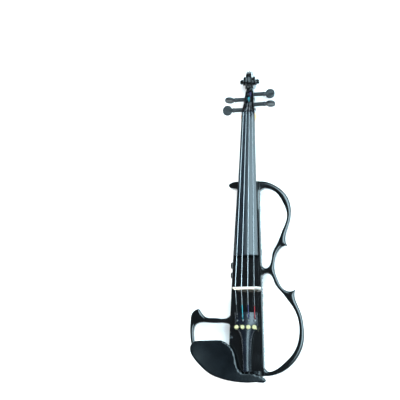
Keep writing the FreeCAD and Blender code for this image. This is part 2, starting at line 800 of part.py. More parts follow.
def pegbox_half(y):
    """Outer half-width of the pegbox at y."""
    start = nut_y.number + 1.5
    stops = [(start, nut_half), (start + 16, nut_half - 2.2), (start + 33, nut_half - 4.0),
             (box_end_y, throat_half)]
    for (y0, a), (y1, b) in zip(stops, stops[1:]):
        if y <= y1:
            return a + (b - a) * (y - y0) / (y1 - y0)
    return throat_half


peg_span = d.board_nut_width + 8


def peg_taper(distance):
    """Peg shaft radius at a distance from the middle of the pegbox, towards the head."""
    slope = (d.peg_radius - d.peg_tip_radius) / d.board_nut_width
    return (d.peg_radius + d.peg_tip_radius) / 2 + slope * distance


def peg_hole(name):
    y, z = peg_axis(name)
    sign = 1.0 if PEG_WAY[name] == "+x" else -1.0
    half = peg_span / 2
    base = (-sign * half, y, z)
    return cone(base, peg_taper(-half) + d.running_fit, peg_taper(half) + d.running_fit, peg_span,
                PEG_WAY[name])


neck_shape = neck_shaft().fuse([neck_heel(), pegbox(), volute()])
tenon = block((-tenon_half, tenon_y, tenon_low), (tenon_half, d.core_top_y, tenon_high))
neck_blank = shaped(neck_shape.cut(string_slot()).removeSplitter())
neck_holes = [peg_hole(name) for name in STRINGS]
neck_holes += [screw_hole(x, d.core_top_y - y, core_low, size(24), neck_screw_radius)
               for x, y in NECK_SCREWS]
node(cut(fuse(neck_blank, tenon), *neck_holes), "neck")


# ---------------------------------------------------------------------------
# Pegs and string windings
# ---------------------------------------------------------------------------

WINDING_X = {"g": -3.2, "d": -1.2, "a": 1.2, "e": 2.4}
winding_build = size(1.0)
winding_half = size(2.2)


def peg(name):
    """A tapered peg with its collar and thumbpiece."""
    y, z = peg_axis(name)
    way = PEG_WAY[name]
    sign = 1.0 if way == "+x" else -1.0
    wall = pegbox_half(float(y))
    collar = wall + d.peg_reach - d.thumb_length - 5
    far = size(wall) + 1.2
    shaft = cone((-sign * far, y, z), peg_taper(-far), peg_taper(far), far * 2, way)
    stem = rod((sign * far, y, z), peg_taper(far), collar - far, way)
    ring = rod((sign * collar, y, z), d.peg_radius + 1.6, size(2.5), way)
    throat = cone((sign * (collar + 2.5), y, z), d.peg_radius + 0.6, d.peg_radius - 0.6, size(4), way)
    thumb = doc.addObject("Part::Ellipsoid", "Thumb")
    bind(thumb, "Radius1", 4.2)
    bind(thumb, "Radius2", d.thumb_length / 2)
    bind(thumb, "Radius3", d.thumb_radius)
    # turned so that the ellipsoid's seam is at the outer end, clear of the throat
    rest = math.radians(PEG_REST[name])
    turn = (V(1, 0, 0), PEG_REST[name]) if sign > 0 else (V(0, math.cos(rest / 2), math.sin(rest / 2)), 180)
    place(thumb, sign * (wall + d.peg_reach - d.thumb_length / 2), y, z, *turn)
    return fuse(shaft, stem, ring, throat, thumb)


for name in STRINGS:
    piece = node(peg(name), "peg_" + name)
    y, z = peg_axis(name)
    sleeve = rod((WINDING_X[name] - winding_half, y, z), d.peg_radius + winding_build,
                 winding_half * 2, "+x")
    node(cut(sleeve, piece), "winding_" + name)

# ---------------------------------------------------------------------------
# Bridge, with its pickup
# ---------------------------------------------------------------------------

foot_half = d.bridge_foot_width / 2
crown_half = d.bridge_top_width / 2


def seat_height(i):
    """Top edge of the bridge under string i."""
    return top + d.bridge_height - STRING_DROP[STRINGS[i]]


def front_plate(corners, front_y, thick):
    """A plate of an outline in the XZ plane, from front_y towards the tail."""
    body = doc.addObject("PartDesign::Body", "FrontPlate")
    sketch = outline_sketch(body, "XZ_Plane", corners)
    pad = body.newObject("PartDesign::Pad", "Pad")
    pad.Profile = sketch
    bind(pad, "Length", thick)
    body.Tip = pad
    return place(body, size(0), front_y, size(0))


def side_plate(corners, low_x, width):
    """A plate of an outline in the YZ plane, from low_x towards +X."""
    body = doc.addObject("PartDesign::Body", "SidePlate")
    sketch = outline_sketch(body, "YZ_Plane", corners)
    pad = body.newObject("PartDesign::Pad", "Pad")
    pad.Profile = sketch
    bind(pad, "Length", width)
    body.Tip = pad
    return place(body, low_x, size(0), size(0))


crown = [(bridge_x(i), seat_height(i)) for i in reversed(range(4))]
bridge_right = [(foot_half, top), (foot_half, top + 1.5), (foot_half - 4, top + 4.5),
                (foot_half - 7.5, top + 8), (foot_half - 7.5, top + 12), (foot_half - 3.5, top + 15.5),
                (crown_half + 1, top + 17.5), (crown_half + 0.6, top + 22),
                (crown_half - 0.5, seat_height(3) - 2)]
bridge_left = [(-crown_half + 0.5, seat_height(0) - 2.4), (-crown_half - 0.6, top + 22),
               (-crown_half - 1, top + 17.5), (-foot_half + 3.5, top + 15.5),
               (-foot_half + 7.5, top + 12), (-foot_half + 7.5, top + 8), (-foot_half + 4, top + 4.5),
               (-foot_half, top + 1.5), (-foot_half, top)]
bridge_arch = [(-foot_half + 11, top), (-foot_half + 12, top + 3.5), (size(-5), top + 6.5),
               (size(5), top + 6.5), (foot_half - 12, top + 3.5), (foot_half - 11, top)]
half_foot = d.bridge_foot_thick / 2
seat_y = d.bridge_edge_thick / 2 - half_foot
bridge_blank = front_plate(bridge_right + crown + bridge_left + bridge_arch, half_foot,
                           d.bridge_foot_thick)
lean = half_foot - d.bridge_edge_thick
wedge = side_plate([(half_foot, top + 4), (half_foot + 3, top + 4),
                    (half_foot + 3, top + d.bridge_height + 4), (-lean, top + d.bridge_height + 4),
                    (-lean, top + d.bridge_height)], -foot_half - 5, d.bridge_foot_width + 10)
heart = [rod((size(x), size(-6), top + z), size(r), size(12), "+y")
         for x, z, r in ((-2.2, 20, 2.6), (2.2, 20, 2.6), (0, 17, 2.2))]
kidneys = [rod((side * (foot_half - 9.5), size(-6), top + 15), size(3.0), size(12), "+y")
           for side in (-1, 1)]
node(cut(bridge_blank, wedge, *(heart + kidneys)), "bridge")

pickup_x = crown_half - 6
pickup_back = -half_foot - 1.8
pickup = block((pickup_x, pickup_back, top + 19), (crown_half + 0.2, -half_foot, top + 24))
node(pickup, "piezo_pickup")
pickup_exit = (crown_half + 0.2, (pickup_back - half_foot) / 2, top + 21.5)
cable_turn = cable_line(cable_end_z)
cable_route = [pickup_exit, (crown_half + 5, pickup_exit[1], pickup_exit[2]),
               (crown_half + 4.5, cable_y, top + 7), cable_line(top + 3), cable_turn,
               (cable_turn[0], board_tail_y, cable_end_z)]
node(shaped(tube(cable_route, cable_radius, [2.0, 5.0, 10.0, 5.0])), "piezo_cable")

# ---------------------------------------------------------------------------
# Tailpiece with fine tuners
# ---------------------------------------------------------------------------

TAIL_STATIONS = [(0.0, 1.0), (0.14, 0.975), (0.25, 0.86), (0.34, 0.62), (0.55, None), (0.78, None),
                 (1.0, None)]
TAIL_WAIST = {0.55: 0.6, 0.78: -0.6, 1.0: 0.0}


def tail_station(share, width_share):
    """Place, half-width, rim height and crown of a tailpiece section."""
    y = float(d.tail_front_y - d.tail_length * share)
    if width_share is None:
        half = d.tail_end_half.number + TAIL_WAIST[share]
    else:
        half = d.tail_front_half.number * width_share
    rim = float(top + d.tail_front_rise + (d.tail_end_rise - d.tail_front_rise) * share)
    arch = d.tail_crown.number * (1 - 0.34 * share)
    return y, half, rim, arch


def tail_surface(x, y):
    """Height of the tailpiece's surface at (x, y), for its wide front."""
    share = (d.tail_front_y.number - y) / d.tail_length.number
    half = d.tail_front_half.number * (1 - 0.5 * share)
    rim = float(top + d.tail_front_rise + (d.tail_end_rise - d.tail_front_rise) * share)
    arch = d.tail_crown.number * (1 - 0.34 * share)
    radius = (half ** 2 + arch ** 2) / (2 * arch)
    return rim + arch - crown_of(abs(x), radius)


tail_edge = 2.5
tail_sections = []
hollow_sections = []
for share, width_share in TAIL_STATIONS:
    y, half, rim, arch = tail_station(share, width_share)
    tail_sections.append(arch_section(y, half, rim, arch, rim - tail_edge))
    if share < 0.34:
        shell = d.tail_shell.number
        y_in = y - 3.5 if share == 0 else y
        hollow_sections.append(arch_section(y_in, half - shell, rim - shell, arch, rim - shell - 6))
tail_blank = Part.makeLoft(tail_sections, True, False)
tail_blank = tail_blank.cut(Part.makeLoft(hollow_sections, True, True))

ball_y = d.tail_front_y - 14
ball_radius = size(1.7)
pivot_y = d.tail_front_y - 19
pivot_z = top + 5.2
screw_y = d.tail_front_y - 26.5
lever_top = top + 6.6
lever_low = top + 3.6
lever_half = size(1.8)
knob_base = size(tail_surface(0.0, float(screw_y))) + 1.0


def tail_x(i):
    return d.tail_spread * (i / 3.0 - 0.5)


def ball_z(i):
    return size(tail_surface(float(tail_x(i)), float(ball_y))) - 4.0


tail_tools = []
for i in range(4):
    x = tail_x(i)
    tail_tools += [rod((x, ball_y, lever_top), ball_radius + d.free_gap * 1.6, size(20)),
                   rod((x, screw_y, top), d.tuner_screw + d.running_fit, size(30)),
                   block((x - 0.75, ball_y, ball_z(i) - 0.6), (x + 0.75, d.tail_front_y - 1.5, size(90)))]
gut_z = top + 4.6
neck_of_pin = size(3.05)
gut_x = neck_of_pin + d.gut_radius + d.running_fit
gut_start = d.tail_front_y - d.tail_length + 12
for side in (-1, 1):
    tail_tools.append(rod((side * gut_x, gut_start, gut_z), d.gut_radius, size(40), "-y"))
lug_x = d.tail_front_half - 2.3
for side in (-1, 1):
    tail_tools.append(rod((side * lug_x - 3, pivot_y, pivot_z), d.pivot_radius, size(6), "+x"))
lugs = [block((side * lug_x - 0.8, pivot_y - 2.4, pivot_z - 2.2),
              (side * lug_x + 0.8, pivot_y + 2.4, top + 10.5)) for side in (-1, 1)]
node(cut(fuse(shaped(tail_blank), *lugs), *tail_tools), "tailpiece")
node(rod((-lug_x - 0.8, pivot_y, pivot_z), d.pivot_radius, lug_x * 2 + 1.6, "+x"), "tuner_pivot")

for i, name in enumerate(STRINGS):
    x = tail_x(i)
    post = ball_z(i) - ball_radius - 0.7
    lever = side_plate([(screw_y - 3, lever_low), (pivot_y, pivot_z - 2.2), (ball_y + 1.8, lever_low),
                        (ball_y + 1.8, post), (ball_y - 1.5, post), (ball_y - 2.5, lever_top),
                        (screw_y - 3, lever_top)], x - lever_half, lever_half * 2)
    bore = rod((x - lever_half - 1, pivot_y, pivot_z), d.pivot_radius + d.running_fit,
               lever_half * 2 + 2, "+x")
    node(cut(lever, bore), "tuner_lever_" + name)
    knob = turned([(size(0), lever_top + 0.8), (d.tuner_screw, lever_top + 0.8),
                   (d.tuner_screw, knob_base), (d.knob_radius - 0.8, knob_base),
                   (d.knob_radius, knob_base + 0.8), (d.knob_radius, knob_base + d.knob_height - 0.7),
                   (d.knob_radius - 0.7, knob_base + d.knob_height),
                   (size(0), knob_base + d.knob_height)], (x, screw_y, size(0)))
    node(knob, "tuner_knob_" + name)

# ---------------------------------------------------------------------------
# Strings: ball end, over bridge and nut, to the peg
# ---------------------------------------------------------------------------

for i, name in enumerate(STRINGS):
    radius = STRING_RADIUS[name]
    y, z = peg_axis(name)
    x = float(tail_x(i))
    fret_y = d.tail_front_y.number - 3
    ball = V(x, ball_y.number, ball_z(i).number)
    fret = V(x, fret_y, tail_surface(x, fret_y) + radius + 0.35)
    seat = V(float(bridge_x(i)), float(seat_y), float(seat_height(i)) + radius + 0.2)
    lift = d.peg_radius.number + float(winding_build) + radius + 0.35
    reel = V(WINDING_X[name], float(y), float(z) + lift)
    wire = tube([ball, fret, seat, string_nut_point(i), reel], radius, [1.5, 3.0, 2.0])
    wire = wire.fuse(Part.makeSphere(float(ball_radius), ball))
    node(shaped(wire), "string_" + name)

string_solids = [piece for piece in nodes if piece.Label.startswith("string_")]
node(cut(nut_blank, *string_solids), "nut")

# ---------------------------------------------------------------------------
# Tail: end pin, saddle, tailgut
# ---------------------------------------------------------------------------

pin_shaft_length = size(24)
tail_face = d.core_tail_y
pin = turned([(size(0), -pin_shaft_length), (d.pin_shaft, -pin_shaft_length),
              (d.pin_shaft, size(0)), (d.pin_shaft + 1, size(0)), (d.pin_shaft + 1, size(1)),
              (neck_of_pin, size(1.2)), (neck_of_pin, size(4)),
              (d.pin_head - 1, size(4.2)), (d.pin_head, size(5.5)),
              (d.pin_head - 1.5, size(8.5)), (size(0), size(9.5))], (size(0), tail_face, pin_z), "-y")
node(pin, "end_pin")
saddle_half = size(11)
saddle = side_plate([(tail_face, top), (tail_face, top + 2.6), (tail_face + 1.2, top + 3.4),
                     (tail_face + 3, top + 3.4), (tail_face + 4.5, top + 2.4), (tail_face + 4.5, top)],
                    -saddle_half, saddle_half * 2)
node(saddle, "end_saddle")
gut_y = tail_face - 2.6
turn = float(gut_x) - 0.001
low_z = pin_z - gut_x
gut_route = [(gut_x, gut_start, gut_z), (gut_x, gut_y, gut_z), (gut_x, gut_y, low_z),
             (-gut_x, gut_y, low_z), (-gut_x, gut_y, gut_z), (-gut_x, gut_start, gut_z)]
node(shaped(tube(gut_route, d.gut_radius, [2.5, turn, turn, 2.5])), "tailgut")

# ---------------------------------------------------------------------------
# Chin rest and its clamp
# ---------------------------------------------------------------------------

rest_low = top + d.rest_gap
rest_high = rest_low + d.rest_thick
rear = d.rest_tail_y.number
reach = d.left_reach.number
rest_edge = smooth([(-reach * 0.96, rear + 63), (-reach * 0.9, rear + 71.5), (-reach * 0.76, rear + 73.5),
                    (-reach * 0.54, rear + 74.2), (-reach * 0.41, rear + 73.2), (-32, rear + 67),
                    (-24, rear + 58), (-20.5, rear + 50), (-18, rear + 38), (-15, rear + 27),
                    (-10.5, rear + 20), (-3, rear + 16.4), (9, rear + 15.8), (22, rear + 14),
                    (31, rear + 9.4), (36, rear + 4.4), (34.5, rear + 1.6), (22, rear + 0.6), (6, rear),
                    (-12, rear + 0.6), (-30, rear + 3), (-46, rear + 7), (-62, rear + 13),
                    (-78, rear + 24.5), (-91, rear + 38), (-reach * 0.96, rear + 55),
                    (-reach * 0.96, rear + 63)])
rest_plate = shaped(slab([rest_edge], rest_low, rest_high))
dish = doc.addObject("Part::Ellipsoid", "Dish")
bind(dish, "Radius1", d.rest_thick * 2)
bind(dish, "Radius2", d.left_reach * 0.37)
bind(dish, "Radius3", 32.0)
place(dish, -d.left_reach * 0.6, d.rest_tail_y + 43, rest_high + d.rest_thick * 1.35)
barrel_x = d.barrel_spacing / 2
barrel_y = tail_face - 5.6
foot_low = top + d.cork_thick
feet = []
corks = []
ears = []
for side in (-1, 1):
    x = side * (barrel_x + 1)
    feet.append(block((x - 6, tail_face, foot_low), (x + 6, tail_face + 9, rest_low)))
    ears.append(block((x - 6, tail_face - 9.5, rest_low - 3.5), (x + 6, tail_face, rest_low)))
    corks.append(block((x - 5.7, tail_face + 0.3, top), (x + 5.7, tail_face + 8.7, foot_low)))
notch_top = core_low + d.tail_notch
clamp_high = notch_top - d.cork_thick
clamp_low = clamp_high - 2.5
corks.append(block((-barrel_x - 6, tail_face + 1, clamp_high), (barrel_x + 6, notch_y - 4, notch_top)))
upper_rods = [(side * barrel_x, barrel_y, rest_low - 17) for side in (-1, 1)]
lower_rods = [(side * barrel_x, barrel_y, clamp_low) for side in (-1, 1)]
rods = [rod(base, d.rod_radius, size(18)) for base in upper_rods]
rods += [rod(base, d.rod_radius, size(13)) for base in lower_rods]
node(cut(fuse(rest_plate, *(feet + ears)), dish, *rods), "chin_rest")
node(fuse(*corks), "clamp_corks")
bracket = block((-barrel_x - 7, tail_face - 9.5, clamp_low), (barrel_x + 7, notch_y - 3, clamp_high))
node(cut(bracket, *rods), "clamp_bracket")
node(fuse(*rods), "clamp_rods")
barrel_low = clamp_high + 2
barrel_length = rest_low - 6 - barrel_low
for side, label in ((-1, "clamp_barrel_bass"), (1, "clamp_barrel_treble")):
    base = (side * barrel_x, barrel_y, barrel_low)
    middle = (side * barrel_x, barrel_y, barrel_low + barrel_length / 2)
    sleeve = rod(base, d.barrel_radius, barrel_length)
    bore = rod(base, d.rod_radius + d.running_fit, barrel_length)
    eye = rod((side * barrel_x - d.barrel_radius - 1, barrel_y, middle[2]), size(0.8),
              d.barrel_radius * 2 + 2, "+x")
    node(cut(sleeve, bore, eye), label)

# ---------------------------------------------------------------------------
# Back cover, battery door and battery
# ---------------------------------------------------------------------------

cover_tail = notch_y + 0.5
cover_end = d.core_top_y - 1.5
step = inset + 0.6
cover_corners = [(-core_left(y) + step, y) for y in (cover_end, cover_tail)]
cover_corners += [(core_right(y) - step, y) for y in (cover_tail, cover_end)]
cover = plate(cover_corners, (size(0), size(0), size(0)), d.cover_thick)
door_window = block((cell_low[0], cell_low[1], size(-1)), (cell_high[0], cell_high[1], d.cover_thick + 1))
hinge_radius = d.cover_thick / 2
hinge_y = cell_high[1] - d.free_gap - hinge_radius
pin_radius = size(0.6)
hinge_pin = rod((cell_low[0] - 3, hinge_y, hinge_radius), pin_radius,
                cell_high[0] - cell_low[0] + 6, "+x")
head_high = size(1.5)
screw_tools = []
screws = []
for x, y in COVER_SCREWS:
    screw_tools += [rod((size(x), size(y), size(-1)), d.screw_radius + d.close_fit / 3, size(6)),
                    rod((size(x), size(y), size(-1)), d.screw_head + d.close_fit, head_high + 1)]
    screws += [rod((size(x), size(y), size(0.2)), d.screw_head, head_high - 0.2),
               rod((size(x), size(y), head_high), d.screw_radius, cover_screw_length - 2)]
node(cut(cover, door_window, hinge_pin, *screw_tools), "back_cover")
door_low = (cell_low[0] + d.free_gap, cell_low[1] + d.free_gap, size(0))
door_high = (cell_high[0] - d.free_gap, hinge_y, d.cover_thick)
door_width = door_high[0] - door_low[0]
door_edge = rod((door_low[0], hinge_y, hinge_radius), hinge_radius, door_width, "+x")
catch = block((battery_x + 8, door_low[1], d.cover_thick), (battery_x + 18, door_low[1] + 0.9, size(6)))
pin_bore = rod((door_low[0] - 1, hinge_y, hinge_radius), pin_radius + d.running_fit, door_width + 2, "+x")
grip = rod((battery_x + d.battery_width / 2, door_low[1] + 6, size(-0.1)), size(3), size(0.9))
node(cut(fuse(block(door_low, door_high), door_edge, catch), pin_bore, grip), "battery_door")
node(hinge_pin, "door_hinge_pin")

battery_z = core_low + 0.7
battery_end = battery_y + d.battery_length
battery_mid_z = battery_z + d.battery_thick / 2
snaps = [rod((battery_x + d.battery_width / 2 + side * 6.3, battery_end, battery_mid_z), radius,
             size(3), "+y") for side, radius in ((-1, size(2.8)), (1, size(3.6)))]
case = block((battery_x, battery_y, battery_z),
             (battery_x + d.battery_width, battery_end, battery_z + d.battery_thick))
node(fuse(case, *snaps), "battery")
clip = block((battery_x + 0.5, battery_end + 0.4, battery_z + 2),
             (battery_x + d.battery_width - 0.5, battery_end + 5.5, battery_z + d.battery_thick - 2))
node(cut(clip, *snaps), "battery_clip")

# ---------------------------------------------------------------------------
# Controls and sockets on the panel, circuit board
# ---------------------------------------------------------------------------

panel = block((-d.panel_face, panel_low_y, panel_low), (panel_inner, panel_high_y, panel_high))
node(cut(panel, *(bush_holes() + [switch_slot()])), "control_panel")
nose_x = -d.panel_face - 2


def socket(key, body_radius, body_length, bush, bore, depth):
    """A socket behind the panel with its threaded nose and bore."""
    y = size(STATIONS[key])
    can = rod((cavity_left, y, control_z), body_radius, body_length, "+x")
    nose = rod((nose_x, y, control_z), bush, cavity_left - nose_x, "+x")
    ring = rod((nose_x + 0.6, y, control_z), bush + 1.4, size(1.4), "+x")
    hole = rod((nose_x, y, control_z), bore, depth, "+x")
    return cut(fuse(can, nose, ring), hole)


node(socket("line", size(6.8), size(22), LINE_BUSH, d.line_bore, size(26)), "line_out_socket")
node(socket("phone", size(5), size(14), PHONE_BUSH, d.phone_bore, size(16)), "headphone_socket")
pot_length = size(7)
pots = []
for key in ("tone", "volume"):
    y = size(STATIONS[key])
    pot_can = rod((cavity_left, y, control_z), size(6.5), pot_length, "+x")
    pot_nose = rod((nose_x, y, control_z), POT_BUSH, cavity_left - nose_x, "+x")
    pot_bore = rod((nose_x - 1, y, control_z), d.spindle_radius + d.running_fit,
                   cavity_left - nose_x + 5, "+x")
    pots.append(cut(fuse(pot_can, pot_nose), pot_bore))
    spindle = rod((cavity_left + 3, y, control_z), d.spindle_radius,
                  cavity_left + 3 - nose_x + d.free_gap + 1, "-x")
    cap = rod((nose_x - d.free_gap, y, control_z), d.dial_radius, d.dial_length, "-x")
    node(fuse(spindle, cap), key + "_knob")
node(fuse(*pots), "control_pots")

switch_y = size(STATIONS["switch"])
housing = block((cavity_left, switch_y - 6.5, control_z - 4),
                (cavity_left + 7, switch_y + 6.5, control_z + 4))
node(housing, "switch_housing")
slider = block((nose_x - 0.8, switch_y - 2.5, control_z - slot_half),
               (cavity_left - d.free_gap, switch_y + 2.5, control_z + slot_half))
node(slider, "switch_slider")

board_low = (size(-11.5), board_tail_y, board_z)
board_high = (size(11.5), board_tail_y + 64, board_z + board_thick)
node(block(board_low, board_high), "preamp_board")
chips = [block((size(x), size(y), board_z - tall), (size(x + wide), size(y + long), board_z))
         for x, y, wide, long, tall in ((-8, 70, 6, 9, 2.2), (1, 70, 6, 9, 2.2), (-8, 88, 9, 5, 2.0),
                                        (-9, 112, 4, 10, 5.5))]
cans = [rod((size(x), size(y), board_z), size(r), size(6), "-z")
        for x, y, r in ((6, 92, 2.5), (6, 100, 2.5), (-4, 102, 3), (5, 116, 3))]
node(fuse(*(chips + cans)), "board_components")
standoffs = [rod((size(x), size(y), board_z + board_thick), size(1.8), cavity_top - board_z - board_thick)
             for x in (-9.3, 9.3) for y in (64.2, 123.8)]
node(fuse(*standoffs), "board_standoffs")
wire_x = size(5.5)
wire_z = core_low + 6
wire_side = size(11)
wire_route = [(wire_x, battery_end + 5.5, wire_z), (wire_x, size(-44), wire_z),
              (wire_side, size(-34), wire_z), (wire_side, size(66), wire_z),
              (wire_side, size(66), board_z)]
node(shaped(tube(wire_route, size(0.9), [15.0, 15.0, 2.7])), "battery_lead")

for x, y in NECK_SCREWS:
    place_y = d.core_top_y - y
    screws += [rod((size(x), place_y, core_low + 0.1), neck_screw_radius * 2 - 0.1, size(3)),
               rod((size(x), place_y, core_low + 3.1), neck_screw_radius, size(20))]
node(fuse(*screws), "body_screws")

light = turned([(size(0), size(-6.5)), (light_radius, size(-6.5)), (light_radius, size(0)),
                (light_radius + 0.9, size(0)), (light_radius + 0.9, size(0.5)), (light_radius, size(0.9)),
                (light_radius - 0.6, size(0.5)), (size(0), size(0.8))], (light_x, light_y, top))
node(light, "power_light")

# ---------------------------------------------------------------------------
# Checks and export
# ---------------------------------------------------------------------------

doc.recompute()
for obj in doc.Objects:
    if "Invalid" in obj.State or "Error" in obj.State:
        raise RuntimeError("%s (%s) failed: %s" % (obj.Label, obj.Name, obj.State))
for piece in nodes:
    if piece.Shape.isNull() or not piece.Shape.isValid():
        raise RuntimeError("%s has no valid shape" % piece.Label)
os.makedirs("parts", exist_ok=True)
for piece in nodes:
    piece.Shape.exportStep("parts/%s.step" % piece.Label)
    box = piece.Shape.BoundBox
    print("%-20s solids %d volume %9.1f  x %6.1f %6.1f  y %6.1f %6.1f  z %6.1f %6.1f" % (
        piece.Label, len(piece.Shape.Solids), piece.Shape.Volume,
        box.XMin, box.XMax, box.YMin, box.YMax, box.ZMin, box.ZMax))
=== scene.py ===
import json
import math

import bmesh
import bpy
from bpy.props import FloatProperty, FloatVectorProperty, PointerProperty
from mathutils import Matrix, Vector, geometry

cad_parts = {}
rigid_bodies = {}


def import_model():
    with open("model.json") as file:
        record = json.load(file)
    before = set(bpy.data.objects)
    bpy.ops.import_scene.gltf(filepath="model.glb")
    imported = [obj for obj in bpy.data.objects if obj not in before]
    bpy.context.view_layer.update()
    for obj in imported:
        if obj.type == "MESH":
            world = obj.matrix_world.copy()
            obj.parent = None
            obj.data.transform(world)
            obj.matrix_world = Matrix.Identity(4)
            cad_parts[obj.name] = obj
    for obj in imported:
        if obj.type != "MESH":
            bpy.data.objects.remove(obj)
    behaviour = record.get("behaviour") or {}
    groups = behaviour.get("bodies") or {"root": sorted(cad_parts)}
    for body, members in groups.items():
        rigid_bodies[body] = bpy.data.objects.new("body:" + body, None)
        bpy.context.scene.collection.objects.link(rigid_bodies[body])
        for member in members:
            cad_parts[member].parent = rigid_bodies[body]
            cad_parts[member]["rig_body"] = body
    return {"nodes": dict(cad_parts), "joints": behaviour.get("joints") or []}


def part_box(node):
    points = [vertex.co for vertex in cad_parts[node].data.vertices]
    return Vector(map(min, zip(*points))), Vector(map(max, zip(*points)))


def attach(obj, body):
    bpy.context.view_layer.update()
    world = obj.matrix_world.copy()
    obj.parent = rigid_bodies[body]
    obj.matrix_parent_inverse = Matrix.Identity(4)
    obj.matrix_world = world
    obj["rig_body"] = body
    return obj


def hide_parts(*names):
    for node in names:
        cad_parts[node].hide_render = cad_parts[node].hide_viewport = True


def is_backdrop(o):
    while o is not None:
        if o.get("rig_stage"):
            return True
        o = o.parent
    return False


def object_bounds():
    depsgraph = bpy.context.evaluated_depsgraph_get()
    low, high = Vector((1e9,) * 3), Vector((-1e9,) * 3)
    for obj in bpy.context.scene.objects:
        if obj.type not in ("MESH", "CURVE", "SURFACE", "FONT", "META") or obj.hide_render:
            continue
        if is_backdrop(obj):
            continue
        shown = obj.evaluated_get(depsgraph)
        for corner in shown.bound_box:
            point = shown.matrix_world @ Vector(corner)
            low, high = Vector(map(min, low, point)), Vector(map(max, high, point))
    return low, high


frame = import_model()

bl_info = {
    "name": "Electric violin",
    "version": (1, 0, 0),
    "blender": (4, 5, 0),
    "location": "3D View > Sidebar > Violin",
    "description": "Builds the finished surfaces of an electric violin round its CAD frame",
    "category": "Add Mesh",
}

CAD_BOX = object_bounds()
MM = 0.001
BODY = "instrument"
STRINGS = ("g", "d", "a", "e")


# ---------------------------------------------------------------------------
# Materials
# ---------------------------------------------------------------------------

def linear(code):
    """An sRGB hex colour as linear RGBA."""
    parts = [int(code[i:i + 2], 16) / 255 for i in (1, 3, 5)]
    return tuple(c / 12.92 if c <= 0.04045 else ((c + 0.055) / 1.055) ** 2.4 for c in parts) + (1.0,)


def add_node(tree, kind, settings=None, **links):
    """Add a node; settings are sockets' values or properties, links are socket name = output."""
    node = tree.nodes.new(kind)
    for key, value in (settings or {}).items():
        if isinstance(key, int) or key in node.inputs:
            node.inputs[key].default_value = value
        else:
            setattr(node, key, value)
    for key, source in links.items():
        tree.links.new(source, node.inputs[key.replace("_", " ")])
    return node


def surface(name, dark, light, rough, size_mm=6.0, stretch=(1, 1, 1), layers=(), relief_mm=0.0,
            **sockets):
    """A principled material whose colour, roughness and relief follow one pattern.

    dark and light are the pattern's hex colours and rough its two roughnesses. The pattern is
    noise of size_mm, stretched along the axes; layers add other textures to it, each as
    (node type, output, settings, share of the sum)."""
    material = bpy.data.materials.new(name)
    material.use_nodes = True
    tree = material.node_tree
    shader = tree.nodes["Principled BSDF"]
    for key, value in sockets.items():
        shader.inputs[key.replace("_", " ")].default_value = value
    place = add_node(tree, "ShaderNodeTexCoord").outputs["Object"]
    scaled = add_node(tree, "ShaderNodeMapping", {"Scale": stretch}, Vector=place)
    texture = add_node(tree, "ShaderNodeTexNoise", {"Scale": 1 / (size_mm * MM), "Detail": 3.0},
                       Vector=scaled.outputs["Vector"])
    pattern = texture.outputs["Fac"]
    for kind, output, settings, share in layers:
        texture = add_node(tree, kind, settings, Vector=place)
        total = add_node(tree, "ShaderNodeMath", {"operation": "MULTIPLY_ADD", 1: share})
        tree.links.new(texture.outputs[output], total.inputs[0])
        tree.links.new(pattern, total.inputs[2])
        pattern = total.outputs[0]
    ramp = add_node(tree, "ShaderNodeValToRGB", Fac=pattern)
    for element, position, colour in zip(ramp.color_ramp.elements, (0.3, 0.75), (dark, light)):
        element.position = position
        element.color = linear(colour)
    tree.links.new(ramp.outputs["Color"], shader.inputs["Base Color"])
    span = add_node(tree, "ShaderNodeMapRange", {"To Min": rough[0], "To Max": rough[1]},
                    Value=pattern)
    tree.links.new(span.outputs["Result"], shader.inputs["Roughness"])
    if relief_mm:
        bump = add_node(tree, "ShaderNodeBump", {"Strength": 0.3, "Distance": relief_mm * MM},
                        Height=pattern)
        tree.links.new(bump.outputs["Normal"], shader.inputs["Normal"])
    return material


